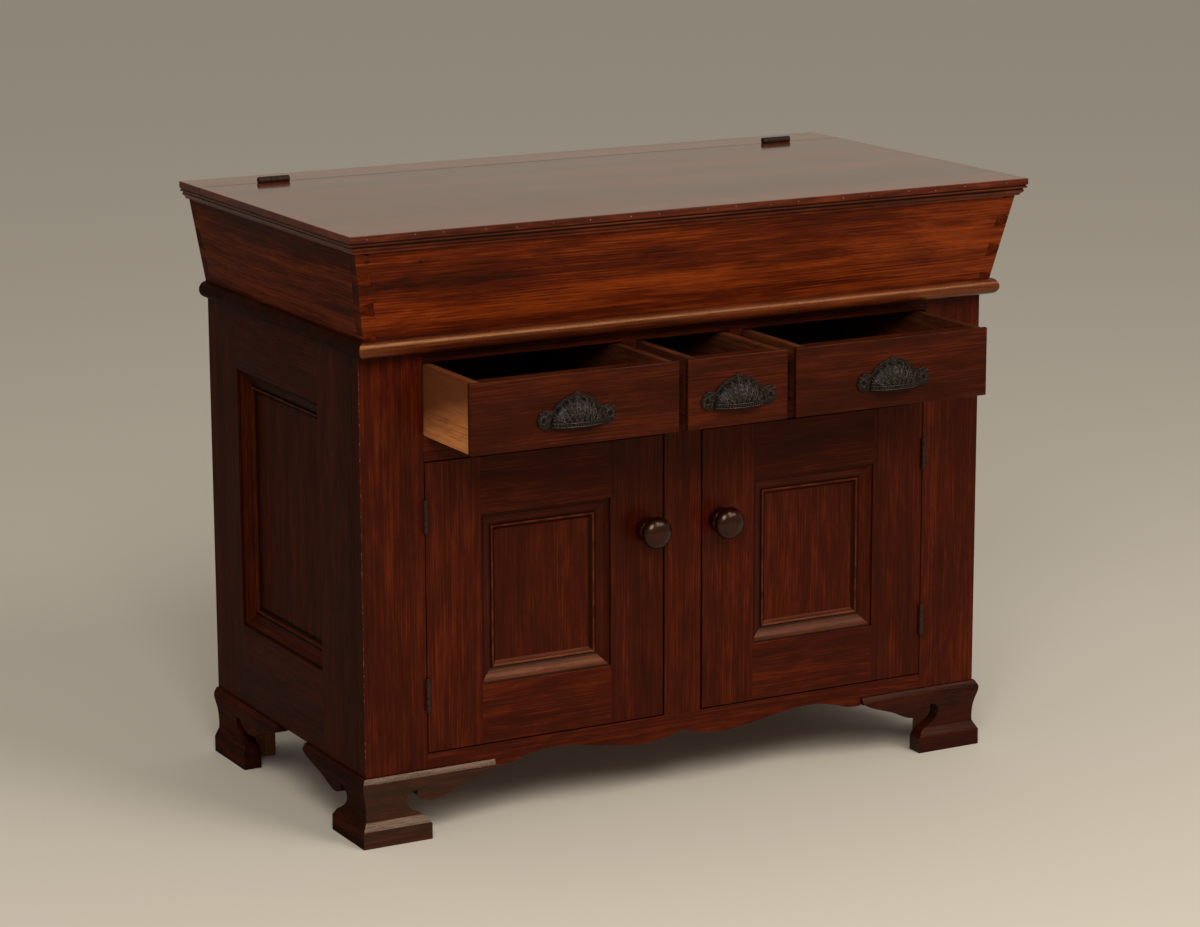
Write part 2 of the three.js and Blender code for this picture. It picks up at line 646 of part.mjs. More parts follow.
const doorFrame = block([doorLeftX, doorRightX], [frontY, doorBackY], [doorLowZ, doorHighZ])
  .subtract(block(doorPanelX, [frontY - overrun, doorBackY + overrun], doorPanelZ))
  .subtract(block(grown(doorPanelX, panelLap), [doorPanelY, doorBackY + overrun], grown(doorPanelZ, panelLap)))
  .subtract(doorHingeRooms)
  .subtract(solidOf(knobBore));
const doorPanel = block(grown(doorPanelX, panelLap - fitGap),
  [doorPanelY, doorPanelY + doorPanelThickness], grown(doorPanelZ, panelLap - fitGap));
const doorRing = ringMoulding(spanOf(doorPanelX) - 2 * fitGap, spanOf(doorPanelZ) - 2 * fitGap,
  doorMouldingWidth, doorPanelDepth);
doorRing.translate(middleOf(doorPanelX), frontY, middleOf(doorPanelZ));
addPair((side) => `door_${side}_frame`, doorFrame, redBrown);
addPair((side) => `door_${side}_panel`, doorPanel, redBrown);
addPair((side) => `door_${side}_moulding`, solidOf(doorRing), redBrown);
addPair((side) => `door_${side}_knob`, turned(knobShares, knobTenonRadius, knobTenonLength), darkKnob);
Object.keys(doorHingeZs).forEach((level, i) => {
  const place = doorHingePlaces[i];
  addPair((side) => `door_${side}_${level}_frame_leaf`, placed(doorHinge.fixed, place), iron);
  addPair((side) => `door_${side}_${level}_door_leaf`, placed(doorHinge.moving, place), iron);
});

// Drawers, part way out. The front has a lip at each end that closes against the case.
const lipBackY = frontY - drawerPulledOut;
const drawerFaceY = lipBackY - lipThickness;
const drawerFrontBackY = drawerFaceY + drawerFrontThickness;
const drawerEndY = lipBackY + drawerLength;
const drawerLowZ = drawerFloorZ + fitGap;
const drawerHighZ = drawerTopZ - drawerTopGap;
const drawerZ = [drawerLowZ, drawerHighZ];
const drawerFrontZ = [drawerLowZ + drawerFrontLift, drawerHighZ];
const pullFootZ = middleOf(drawerFrontZ) + pullFootShare * pullHeight / 2;

// The upper half of an egg round the middle of the plate's foot, on the front's face
function egg(shrink) {
  const geometry = new THREE.SphereGeometry(1, cupSegments, cupSegments / 2);
  geometry.scale(cupWidth / 2 - shrink, cupReach - shrink, cupHeight - shrink);
  geometry.translate(0, drawerFaceY, pullFootZ);
  return solidOf(geometry);
}

function pull() {
  const right = pullShares.map(([u, v]) => [u * pullWidth / 2, v * pullHeight / 2]);
  const left = right.slice(1, -1).reverse().map(([u, v]) => [-u, v]);
  const outline = [...right, ...left].map(([u, v]) => [u, middleOf(drawerFrontZ) + v]);
  const plate = alongY(outline, [drawerFaceY - pullPlateThickness, drawerFaceY]);
  const room = block([-cupWidth, cupWidth], [drawerFaceY - pullWidth, drawerFaceY],
    [pullFootZ, pullFootZ + pullHeight]);
  return plate.add(egg(0).subtract(egg(cupWall)).intersect(room));
}

function addDrawer(side, openingWidth, place) {
  const outer = openingWidth / 2 - drawerSideGap;
  const inner = outer - drawerSideThickness;
  const bottomLowZ = drawerLowZ + drawerBottomRise;
  const bottomZ = [bottomLowZ, bottomLowZ + drawerBottomThickness];
  const sideRun = [lipBackY + fitGap, drawerEndY];
  const bottomEnd = drawerFrontBackY - drawerGroove;
  const box = joined([
    block([-outer, -inner], sideRun, drawerZ),
    block([inner, outer], sideRun, drawerZ),
    block([-outer, outer], [drawerEndY - drawerBackThickness, drawerEndY],
      [drawerLowZ, drawerHighZ - drawerBackDrop]),
    block([-inner - fitGap, inner + fitGap], [bottomEnd, drawerEndY - drawerBackThickness / 2], bottomZ),
  ]);
  const lip = openingWidth / 2 + lipOverlap;
  const front = block([-lip, lip], [drawerFaceY, lipBackY], drawerFrontZ)
    .add(block([fitGap - inner, inner - fitGap], [lipBackY - lipThickness / 2, drawerFrontBackY], drawerFrontZ))
    .subtract(block([-inner, inner], [bottomEnd - fitGap, drawerFrontBackY + overrun], grown(bottomZ, fitGap)));
  addPiece(`drawer_${side}_front`, front, redBrown, false, place);
  addPiece(`drawer_${side}_box`, box, plainPine, false, place);
  addPiece(`drawer_${side}_pull`, pull(), darkPull, false, place);
}
const endOpeningWidth = -openingX - dividerX - dividerWidth;
const endDrawerX = -openingX - endOpeningWidth / 2;
addDrawer('left', endOpeningWidth, -endDrawerX);
addDrawer('centre', centreOpeningWidth, 0);
addDrawer('right', endOpeningWidth, endDrawerX);

// Bracket feet. The swell of the front and of the side meet in a mitre at the corner.
const swellOf = (plane, out) => footSwellShares.map(([up, swell]) => (
  [plane + out * swell * footSwell, up * footHeight]));
const sideFace = (y0, y1) => alongY([...swellOf(leftX, -1), [0, footHeight], [0, 0]], [y0, y1]);
const frontFace = alongX([...swellOf(frontY, -1), [0, footHeight], [0, 0]],
  [leftX - overrun, leftX + footReach]);
const voidOutline = (reach) => {
  const scaled = (shares) => shares.map(([s, up]) => [s * reach, up * footHeight]);
  return [
    [padShare * reach, -overrun],
    [padShare * reach, padHeightShare * footHeight],
    ...smooth(scaled(neckShares), outlineSteps),
    ...smooth(scaled(lobeShares), outlineSteps),
    [reach + overrun, lobeEndShare * footHeight],
    [reach + overrun, -overrun],
  ];
};
const blockZ = [0, footHeight];
const upperBlockZ = [footHeight - fitGap, footHeight + floorRise];

// Glue block in the corner, stepped in where it passes up between the walls to the floor board
function glueBlock(wallY, inwards) {
  const reachY = wallY + inwards * (bracketThickness + footBlockWidth);
  const order = (a, b) => [Math.min(a, b), Math.max(a, b)];
  const low = block([leftX + bracketThickness - fitGap, leftX + bracketThickness + footBlockWidth],
    order(wallY + inwards * (bracketThickness - fitGap), reachY), blockZ);
  const high = block([innerX + fitGap, leftX + bracketThickness + footBlockWidth],
    order(wallY + inwards * (sideThickness + fitGap), reachY), upperBlockZ);
  return low.add(high);
}

const frontFoot = sideFace(frontY - overrun, frontY + footReach).intersect(frontFace)
  .subtract(block([leftX + bracketThickness, overrun], [frontY + bracketThickness, overrun],
    [-overrun, footHeight + overrun]))
  .subtract(alongY(voidOutline(footReach).map(([s, z]) => [leftX + s, z]),
    [frontY - overrun, frontY + bracketThickness]))
  .subtract(alongX(voidOutline(footReach).map(([s, z]) => [frontY + s, z]),
    [leftX - overrun, leftX + bracketThickness]))
  .add(glueBlock(frontY, 1));
addPair((side) => `foot_front_${side}`, frontFoot, redBrown);

const rearNotch = [
  ...rearNotchShares.map(([s, up]) => [s * rearBracketReach, up * footHeight]),
  [rearBracketReach + overrun, rearNotchEndShare * footHeight],
  [rearBracketReach + overrun, -overrun],
  [rearBracketReach * padShare, -overrun],
].map(([s, z]) => [leftX + s, z]);
const rearBracket = block([leftX + fitGap, leftX + rearBracketReach],
  [backY - bracketThickness, backY], [0, footHeight])
  .subtract(alongY(rearNotch, [backY - bracketThickness - overrun, backY + overrun]));
const backFoot = sideFace(backY - backFootReach, backY)
  .subtract(block([leftX + bracketThickness, overrun], [frontY, backY + overrun],
    [-overrun, footHeight + overrun]))
  .subtract(alongX(voidOutline(backFootReach).map(([s, z]) => [backY - s, z]),
    [leftX - overrun, leftX + bracketThickness]))
  .add(rearBracket)
  .add(glueBlock(backY, -1));
addPair((side) => `foot_back_${side}`, backFoot, redBrown);

// The origin goes under the middle of the whole, from the pulls' faces to the back rail
cabinet.position.y = -(drawerFaceY - cupReach + railBackY) / 2;

export default cabinet;
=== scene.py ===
# %% [markdown]
# # A dry sink cabinet
# A dry sink is a low kitchen cupboard with a sunk well on top for a basin. This one has two framed
# doors, three drawers that stand part way out, a canted well under a hinged lid, and four scrolled
# bracket feet. The measured model is loaded first. Everything below is built round it, in the same
# place and size, so that no piece needs fitting by eye.

# %% Load the measured model
import json
import math
import random

import bmesh
import bpy
import numpy as np
from mathutils import Matrix, Vector

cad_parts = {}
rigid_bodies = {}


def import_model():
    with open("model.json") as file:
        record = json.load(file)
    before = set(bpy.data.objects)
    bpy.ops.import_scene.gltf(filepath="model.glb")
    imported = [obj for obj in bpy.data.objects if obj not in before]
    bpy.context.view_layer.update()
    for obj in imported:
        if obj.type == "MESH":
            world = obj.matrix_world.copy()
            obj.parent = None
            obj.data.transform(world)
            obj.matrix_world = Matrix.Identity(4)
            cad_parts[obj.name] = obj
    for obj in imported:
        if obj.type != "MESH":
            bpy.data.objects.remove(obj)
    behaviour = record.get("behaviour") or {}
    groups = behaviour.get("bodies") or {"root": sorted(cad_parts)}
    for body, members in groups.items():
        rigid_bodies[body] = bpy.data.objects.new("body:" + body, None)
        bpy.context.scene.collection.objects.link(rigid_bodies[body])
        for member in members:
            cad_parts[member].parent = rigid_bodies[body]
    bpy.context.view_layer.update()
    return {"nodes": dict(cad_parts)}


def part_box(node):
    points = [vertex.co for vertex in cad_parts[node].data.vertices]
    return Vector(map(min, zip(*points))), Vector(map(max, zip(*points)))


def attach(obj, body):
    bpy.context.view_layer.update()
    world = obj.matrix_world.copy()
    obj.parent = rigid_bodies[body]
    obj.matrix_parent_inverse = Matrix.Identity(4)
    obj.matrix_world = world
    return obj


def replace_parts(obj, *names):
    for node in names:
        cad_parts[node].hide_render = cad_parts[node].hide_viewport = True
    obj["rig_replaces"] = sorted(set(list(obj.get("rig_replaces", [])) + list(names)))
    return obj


MM = 0.001
X, Y, Z = Vector((1, 0, 0)), Vector((0, 1, 0)), Vector((0, 0, 1))

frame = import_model()

# %% [markdown]
# ## Camera
# A long lens stands five metres away, a little to the left and above the lid. Its direction is
# three turns: round the upright axis, then a tilt, then a slight roll. Written as a product of
# rotations, each turn stays readable.


# %% Camera
def add_object(name, data):
    """Puts data, such as a mesh or a lamp, into the scene as an object."""
    obj = bpy.data.objects.new(name, data)
    bpy.context.scene.collection.objects.link(obj)
    return obj


camera_data = bpy.data.cameras.new("camera")
camera_data.sensor_width = 36
camera_data.lens = 108.21
camera = add_object("camera", camera_data)
turned = (Matrix.Rotation(math.radians(-28.57), 4, "Z")
          @ Matrix.Rotation(math.radians(77.23), 4, "X")
          @ Matrix.Rotation(math.radians(-0.21), 4, "Z"))
camera.matrix_world = Matrix.Translation((-2.5782, -4.66355, 1.6786)) @ turned
bpy.context.scene.camera = camera
bpy.context.scene.view_settings.view_transform = "Standard"
print("camera at", [round(value, 2) for value in camera.location])

# %% [markdown]
# ## Shader arithmetic
# A node material is a small program. Adding nodes one by one is long-winded, so a socket is
# wrapped in a class that knows plus, minus and times. An expression such as `1 - mask * 0.5` then
# adds its own Math nodes, and the formulas below read like formulas.


# %% Wire
class Wire:
    """One output socket, with arithmetic."""

    def __init__(self, paint, socket):
        self.paint = paint
        self.socket = socket

    def math(self, operation, *values):
        return self.paint.node("ShaderNodeMath", {"operation": operation}, dict(enumerate(values)))

    def __add__(self, other):
        return self.math("ADD", self, other)

    def __sub__(self, other):
        return self.math("SUBTRACT", self, other)

    def __rsub__(self, other):
        return self.math("SUBTRACT", other, self)

    def __mul__(self, other):
        return self.math("MULTIPLY", self, other)

    def __pow__(self, other):
        return self.math("POWER", self, other)

    __radd__ = __add__

    def larger(self, other):
        return self.math("MAXIMUM", self, other)

    def clamped(self, low, high):
        """From 0 at low to 1 at high, and no further."""
        names = {"Value": self, "From Min": low, "From Max": high}
        return self.paint.node("ShaderNodeMapRange", {"clamp": True}, names)


print("operators between wires and numbers: + - * **")


# %% Paint
class Paint:
    """The nodes of one material, or of the world."""

    def __init__(self, owner):
        owner.use_nodes = True
        self.tree = owner.node_tree
        self.tree.nodes.clear()

    def node(self, kind, settings=None, sockets=None, out=0):
        made = self.tree.nodes.new(kind)
        for name, value in (settings or {}).items():
            if name == "stops":
                ramp = made.color_ramp.elements
                for place, colour in value[1:-1]:
                    ramp.new(place).color = (*colour, 1)
                for stop, (place, colour) in zip((ramp[0], ramp[-1]), (value[0], value[-1])):
                    stop.position = place
                    stop.color = (*colour, 1)
            else:
                setattr(made, name, value)
        for name, value in (sockets or {}).items():
            socket = made.inputs[name]
            if isinstance(value, Wire):
                self.tree.links.new(value.socket, socket)
            elif socket.type == "RGBA":
                socket.default_value = (*value, 1)
            else:
                socket.default_value = value
        return Wire(self, made.outputs[out]) if made.outputs else None

    def mix(self, share, low, high):
        """A colour between two colours."""
        sockets = {0: share, 6: low, 7: high}
        return self.node("ShaderNodeMix", {"data_type": "RGBA"}, sockets, out=2)

    def noise(self, x, y, z, detail=2.0, rough=0.5):
        """Soft noise over three coordinates, from about 0.25 to 0.75."""
        place = self.node("ShaderNodeCombineXYZ", None, {0: x, 1: y, 2: z})
        sockets = {"Vector": place, "Scale": 1.0, "Detail": detail, "Roughness": rough}
        return self.node("ShaderNodeTexNoise", None, sockets)

    def position(self):
        """The x, y and z of the place that is being coloured, in metres."""
        place = self.node("ShaderNodeTexCoord", out="Object")
        parts = self.node("ShaderNodeSeparateXYZ", None, {0: place}).socket.node.outputs
        return [Wire(self, part) for part in parts]

    def speckle(self, place, scale, detail):
        """Noise that is the same in all directions."""
        return self.noise(*(value * scale for value in place), detail)

    def mark(self, name):
        """A number that is stored on the faces of the mesh."""
        return self.node("ShaderNodeAttribute", {"attribute_name": name}, out="Fac")


def srgb(red, green, blue):
    """A screen colour, 0 to 255, as the linear colour that a shader takes."""
    return tuple(c / 12.92 if c <= 0.04045 else ((c + 0.055) / 1.055) ** 2.4
                 for c in (red / 255, green / 255, blue / 255))


print("red-brown in linear light:", [round(c, 4) for c in srgb(66, 26, 14)])

# %% [markdown]
# ## Studio
# The cabinet stands on a plain pale floor in soft light. Two large lamps in front, one at each
# side, and a smaller one higher up give the shape, and the world adds an even glow from all sides.
# Light Path tells rays apart: the eye, polished surfaces and glass all see the same pale room,
# while the glow that lights the wood is set on its own.

# %% World
world = bpy.data.worlds.new("room")
bpy.context.scene.world = world
paint = Paint(world)
seen = paint.node("ShaderNodeLightPath", out="Is Camera Ray")
mirrored = paint.node("ShaderNodeLightPath", out="Is Glossy Ray")
clear = paint.node("ShaderNodeLightPath", out="Is Transmission Ray")
glow = paint.node("ShaderNodeBackground", None, {"Color": (1.0, 0.98, 0.95), "Strength": 0.42})
room = paint.node("ShaderNodeBackground", None, {"Color": srgb(206, 196, 178), "Strength": 0.64})
shown = seen.larger(mirrored).larger(clear)
both = paint.node("ShaderNodeMixShader", None, {0: shown, 1: glow, 2: room})
paint.node("ShaderNodeOutputWorld", None, {"Surface": both})
print("world nodes:", len(world.node_tree.nodes))


# %% Lamps and floor
WARM_WHITE = (1.0, 0.97, 0.93)


def lamp(name, place, aim, size, watts):
    """A softbox, wide and high as the size says, that faces a point."""
    data = bpy.data.lights.new(name, "AREA")
    data.shape = "RECTANGLE"
    data.size, data.size_y = size
    data.energy = watts
    data.color = WARM_WHITE
    obj = add_object(name, data)
    turned = (Vector(aim) - Vector(place)).to_track_quat("-Z", "Y")
    obj.matrix_world = Matrix.Translation(place) @ turned.to_matrix().to_4x4()


lamp("left lamp", (-1.9, -3.3, 2.9), (0, 0, 0.45), (1.6, 1.6), 96)
lamp("right lamp", (2.0, -3.6, 3.0), (0, 0, 0.45), (3.0, 1.2), 62)
lamp("top lamp", (0.9, -2.9, 3.9), (0, -0.1, 0.5), (1.2, 1.2), 46)

floor_bm = bmesh.new()
bmesh.ops.create_grid(floor_bm, x_segments=1, y_segments=1, size=30)
floor_mesh = bpy.data.meshes.new("floor")
floor_bm.to_mesh(floor_mesh)
floor_bm.free()
floor = add_object("floor", floor_mesh)
floor_paint = bpy.data.materials.new("floor")
paint = Paint(floor_paint)
plain = {"Base Color": srgb(202, 192, 175), "Roughness": 0.9}
shader = paint.node("ShaderNodeBsdfPrincipled", None, plain)
paint.node("ShaderNodeOutputMaterial", None, {"Surface": shader})
floor_mesh.materials.append(floor_paint)

# %% [markdown]
# ## Wood
# Wood is a stack of cones: each year adds a ring round the heart of the log, and a saw cuts flat
# faces through the rings. So the pattern is made as a solid one. The distance from a crooked
# heart line gives the rings, and they come out as long flames on the face of a board and as arcs
# on its end, as on the real thing. Fine noise drawn out along the grain adds fibres and pores.
# A number on each board moves it to another place in the log, so no two boards match.
#
# Marks on the faces carry what the pattern can't know: corners that rub bright, painted highlights
# on beads, painted shade in hollows, gaps and on faces turned from the light, and end grain, which
# soaks up more stain and is darker.

# %% What each wood looks like
# The four colours are the darkest and the middle wood, the lightest, and a rubbed edge, which
# also serves as a painted highlight on beads. The next four numbers say how strongly broad bands,
# streaks, year rings and flecks show, and the last two how strong and how blurred the shine is.
COLUMNS = ("dark", "middle", "light", "rub", "broad", "bands", "rings", "figure", "gloss", "rough")
WOODS = {
    "case_wood": ((34, 7, 2), (56, 12, 3), (94, 32, 8), (116, 50, 26),
                  0.2, 0.28, 0.14, 0.32, 0.11, 0.36),
    # The sides: a darker copy of the case wood, partly painted shade on faces turned from the light
    "side_wood": ((25, 7, 2), (44, 12, 4), (67, 22, 7), (90, 44, 26),
                  0.2, 0.4, 0.16, 0.35, 0.02, 0.45),
    "well_wood": ((38, 10, 4), (76, 23, 5), (128, 51, 12), (150, 80, 40),
                  0.6, 0.5, 0.2, 0.32, 0.08, 0.36),
    "nose_wood": ((42, 13, 4), (72, 26, 8), (114, 50, 17), (118, 58, 24),
                  0.2, 0.4, 0.15, 0.35, 0.75, 0.28),
    # The lower door sticks: a paler copy of the case wood, painted to look lit
    "sill_wood": ((44, 14, 6), (72, 27, 12), (98, 43, 21), (116, 56, 34),
                  0.3, 0.5, 0.1, 0.5, 0.34, 0.4),
    "foot_wood": ((16, 4, 2), (34, 8, 3), (62, 18, 7), (104, 56, 36),
                  0.2, 0.4, 0.25, 0.5, 0.42, 0.15),
    "lid_wood": ((66, 25, 10), (97, 38, 14), (124, 54, 21), (132, 62, 38),
                 0.5, 0.5, 0.25, 0.2, 0.02, 0.36),
    "edge_wood": ((44, 14, 7), (66, 23, 11), (96, 40, 20), (124, 66, 42),
                  0.3, 0.6, 0.2, 0.6, 0.15, 0.36),
    "knob_wood": ((14, 3, 2), (28, 5, 3), (46, 11, 5), (70, 34, 20),
                  0.2, 0.3, 0.15, 0.35, 0.34, 0.22),
    # Drawer boards: a dark copy as painted shade, and a pale one as painted light on the lit side
    "drawer_wood": ((38, 17, 9), (72, 34, 18), (104, 56, 30), (120, 74, 44),
                    0.2, 0.4, 0.25, 0.35, 0.08, 0.5),
    "bare_wood": ((124, 70, 38), (180, 111, 62), (206, 136, 82), (112, 64, 38),
                  0.3, 0.3, 0.15, 0.35, 0.1, 0.5),
    "plain_wood": ((70, 36, 18), (112, 66, 34), (146, 94, 52), (150, 104, 64),
                   0.3, 0.4, 0.3, 0.4, 0.2, 0.5),
}
LOOKS = {name: dict(zip(COLUMNS, row)) for name, row in WOODS.items()}
# A few looks have one thing more: longer flecks, a tinted shine, a coat, low relief or a painted shadow
LOOKS["well_wood"]["flecks_per_metre"] = 8.0
LOOKS["nose_wood"]["tint"] = (1.0, 0.45, 0.18)
LOOKS["sill_wood"]["tint"] = (1.0, 0.68, 0.46)
LOOKS["lid_wood"]["coat"] = 1.0
LOOKS["knob_wood"]["bump"] = 0.04
LOOKS["bare_wood"]["browned"] = (0.63, 0.69)
LOOKS["well_end_wood"] = {**LOOKS["well_wood"], "gloss": 0.02, "rough": 0.45}
LOOKS["front_wood"] = {**LOOKS["case_wood"], "dark": (30, 7, 2), "middle": (49, 12, 3),
                       "light": (82, 29, 9)}
# Darker copies for the nose's ends and the feet's side brackets: painted shade
LOOKS["nose_end_wood"] = {**LOOKS["side_wood"], "middle": (34, 10, 4), "rough": 0.6}
# The right front foot: less shine and a lighter colour, so it lacks the left foot's highlight
LOOKS["dull_foot_wood"] = {**LOOKS["foot_wood"], "middle": (42, 12, 6), "gloss": 0.12, "rough": 0.3}
LOOKS["foot_side_wood"] = {**LOOKS["side_wood"], "dark": (20, 6, 3), "middle": (36, 11, 5), "rough": 0.6}
# Small knots: x, y, z and radius in metres. A knot runs through the board along the axis that is None.
KNOTS = {"lid_wood": [(-0.19, -0.0235, None, 0.008)],
         "well_wood": [(-0.527, None, 0.857, 0.005), (-0.445, None, 0.8515, 0.004)]}
finishes = {}
print("woods:", ", ".join(LOOKS))


# %% The wood shader
RINGS_PER_METRE = 230


def wood(name, grain):
    """One wood finish, with the grain along the x, y or z axis."""
    look = LOOKS[name]
    material = bpy.data.materials.new(f"{name}_{grain}")
    paint = Paint(material)
    x, y, z = place = paint.position()
    along, wide, deep = {"x": (x, z, y), "y": (y, z, x), "z": (z, x, y)}[grain]
    board = paint.mark("board")
    along = along + board * 9.0
    wide = wide + board * 0.23
    deep = deep + board * 0.19

    # The heart line wanders, and the board was sawn a hand's width from it
    wander = paint.noise(along * 1.5, wide * 2.5, deep * 2.5, 1.0) - 0.5
    across = wide + wander * 0.07 - 0.1
    inward = deep + wander * 0.03 + 0.05
    year = ((across * across + inward * inward) ** 0.5) * (RINGS_PER_METRE * math.tau)
    ring = (year.math("SINE", year) * 0.5 + 0.5) ** 2.0 - 0.38

    def drawn_out(length, width, low, high, detail=2.0, rough=0.5):
        noise = paint.noise(along * length, wide * width, deep * width, detail, rough)
        return noise.clamped(low, high)

    fade = drawn_out(3.0, 30.0, 0.35, 0.65, 1.0)
    streak = drawn_out(2.0, 40.0, 0.3, 0.7, 5.0, 0.72) - 0.5
    cloud = drawn_out(3.2, 9.0, 0.3, 0.7, 3.0) - 0.5
    fibre = drawn_out(9.0, 380.0, 0.25, 0.75, 3.0) - 0.5
    pore = drawn_out(30.0, 1100.0, 0.58, 0.68, 1.0)
    bands = drawn_out(0.7, 15.0, 0.35, 0.65) - 0.5

    bend = cloud * 3.2
    flecks = look.get("flecks_per_metre", 16.0)
    flame = paint.noise(along * flecks, wide * 75.0 + bend, deep * 75.0 + bend, 4.0, 0.65)
    flame = flame.clamped(0.3, 0.7) - 0.5
    tone = (bands * look["broad"] + streak * look["bands"] + ring * fade * look["rings"]
            + flame * look["figure"] + fibre * 0.5 + cloud * 0.2 + board * 0.14 + 0.38)
    stops = [(0.0, srgb(*look["dark"])), (0.45, srgb(*look["middle"])), (1.0, srgb(*look["light"]))]
    colour = paint.node("ShaderNodeValToRGB", {"stops": stops}, {0: tone})

    # Pores, end grain, rubbed edges, chips, dirt and painted shade lie over the grain
    colour = paint.mix(pore * 0.35, colour, srgb(*look["dark"]))
    colour = paint.mix(paint.mark("end") * 0.3, colour, srgb(*look["dark"]))
    # Rubbed corners and chips are real wear; on beads and cast ribs the rub colour is a painted highlight
    wear = paint.mark("wear")
    patches = paint.speckle(place, 60.0, 2.0).clamped(0.4, 0.65)
    chips = paint.speckle(place, 190.0, 1.0).clamped(0.6, 0.64)
    colour = paint.mix(wear.clamped(0.0, 1.0) * (patches * 0.35 + 0.1), colour, srgb(*look["rub"]))
    colour = paint.mix(wear.clamped(1.0, 2.0) * chips * 0.8, colour, srgb(126, 82, 56))
    # Painted shade: hollows, gaps and faces turned from the light are darkened, with some dirt
    grime = paint.mark("grime")
    colour = paint.mix(grime * 0.88, colour, srgb(12, 5, 3))

    for *spot, radius in KNOTS.get(name, ()):
        steps = [now - there for now, there in zip(place, spot) if there is not None]
        off = sum(step * step for step in steps) ** 0.5
        knot = (off + fibre * 0.004).clamped(radius, radius * 0.4)
        colour = paint.mix(knot * 0.8, colour, srgb(20, 8, 4))
    # A painted shadow darkens the wood above a slanting line
    if "browned" in look:
        browned = (z + (y + 0.334) * 0.3 + cloud * 0.03).clamped(*look["browned"])
        colour = paint.mix(browned * 0.9, colour, srgb(82, 38, 19))

    height = fibre * 0.5 - pore * 0.8 + ring * 0.25
    bump = paint.node("ShaderNodeBump", None, {
        "Strength": look.get("bump", 0.3), "Distance": 0.0002, "Height": height})
    shader = paint.node("ShaderNodeBsdfPrincipled", None, {
        "Base Color": colour,
        "Roughness": cloud * 0.1 + pore * 0.1 + look["rough"],
        "Normal": bump,
        "Specular IOR Level": look["gloss"],
        "Specular Tint": look.get("tint", (1.0, 0.72, 0.5)),
        "Coat Weight": (1 - grime) * look["coat"] if "coat" in look else 0.0,
        "Coat Roughness": 0.1,
    })
    paint.node("ShaderNodeOutputMaterial", None, {"Surface": shader})
    return material


print("year rings in 10 cm:", RINGS_PER_METRE // 10)

# %% [markdown]
# ## Iron and cast metal
# The hinges are plain iron gone brown, and the drawer pulls are castings with a dark bronze
# patina. Both are metal with a thin skin: the skin is rough and dark, and raised places, which
# fingers rub, are smoother and lighter. On the pulls the lighter colour is also a painted highlight.


# %% Metal finishes
METALS = {
    "hinge_iron": {"low": (28, 16, 12), "high": (46, 29, 22), "rub": (62, 42, 33),
                   "metallic": 0.3, "rough": 0.5},
    "pull_iron": {"low": (6, 4, 3), "high": (12, 9, 7), "rub": (62, 50, 39),
                  "metallic": 0.1, "rough": 0.28},
    "nail_heads": {"low": (96, 66, 50), "high": (140, 104, 82), "rub": (150, 114, 92),
                   "metallic": 0.1, "rough": 0.5},
}


def metal(name, grain):
    """Dark skinned metal that shines where it is rubbed."""
    look = METALS[name]
    material = bpy.data.materials.new(f"{name}_{grain}")
    paint = Paint(material)
    place = paint.position()
    mottle = paint.speckle(place, 90.0, 4.0).clamped(0.35, 0.65)
    patina = paint.speckle(place, 420.0, 2.0).clamped(0.4, 0.6)
    grit = paint.speckle(place, 900.0, 2.0)
    # Rubbed places: real wear on the hinges, and partly a painted highlight on the pulls' ornament
    rubbed_and_lit = paint.mark("wear") * (patina * 0.85 + 0.1)
    skin = paint.mix(mottle, srgb(*look["low"]), srgb(*look["high"]))
    colour = paint.mix(rubbed_and_lit, skin, srgb(*look["rub"]))
    colour = paint.mix(paint.mark("grime") * 0.8, colour, srgb(9, 7, 6))
    bump = paint.node("ShaderNodeBump", None, {"Strength": 0.35, "Distance": 0.0003, "Height": grit})
    shader = paint.node("ShaderNodeBsdfPrincipled", None, {
        "Base Color": colour,
        "Metallic": look["metallic"],
        "Roughness": mottle * 0.15 + look["rough"] - rubbed_and_lit * 0.14,
        "Normal": bump,
        "Specular IOR Level": 0.14,
    })
    paint.node("ShaderNodeOutputMaterial", None, {"Surface": shader})
    return material


def finish(name, grain):
    """The material of a look and a grain, made once."""
    if (name, grain) not in finishes:
        make = wood if name in LOOKS else metal
        finishes[name, grain] = make(name, grain)
    return finishes[name, grain]


print("metals share one shader, and woods another")

# %% [markdown]
# ## Boards out of the measured solids
# Most pieces are sawn boards whose joints, notches and rabbets are already right in the measured
# solid. Modelling them again would only lose accuracy. So a board starts as a copy of the solid:
# its loose triangles are merged and flat neighbours become one face. Every mesh gets room for four
# numbers per face before its first face is looked at, since adding one later loses hold of the faces.

# %% Copies, boxes and outlines
MARKS = ("wear", "grime", "board", "end")


def extent(node):
    """Lowest and highest corner of a measured piece, in millimetres."""
    low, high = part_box(node)
    return low / MM, high / MM


def with_marks(bm):
    """Lets faces hold wear and painted highlight, painted shade and dirt, a number for the board, end grain.
    """
    for name in MARKS:
        bm.faces.layers.float.new(name)
    return bm


def copy_of(node):
    """A clean copy of a measured solid, in millimetres."""
    bm = bmesh.new()
    bm.from_mesh(frame["nodes"][node].data)
    with_marks(bm)
    bmesh.ops.scale(bm, vec=(1 / MM, 1 / MM, 1 / MM), verts=bm.verts)
    bmesh.ops.remove_doubles(bm, verts=bm.verts, dist=0.01)
    bmesh.ops.dissolve_limit(bm, angle_limit=math.radians(0.5), verts=bm.verts, edges=bm.edges)
    return bm


def add_box(bm, centre, size):
    bmesh.ops.create_cube(bm, size=1, matrix=Matrix.LocRotScale(centre, None, size))


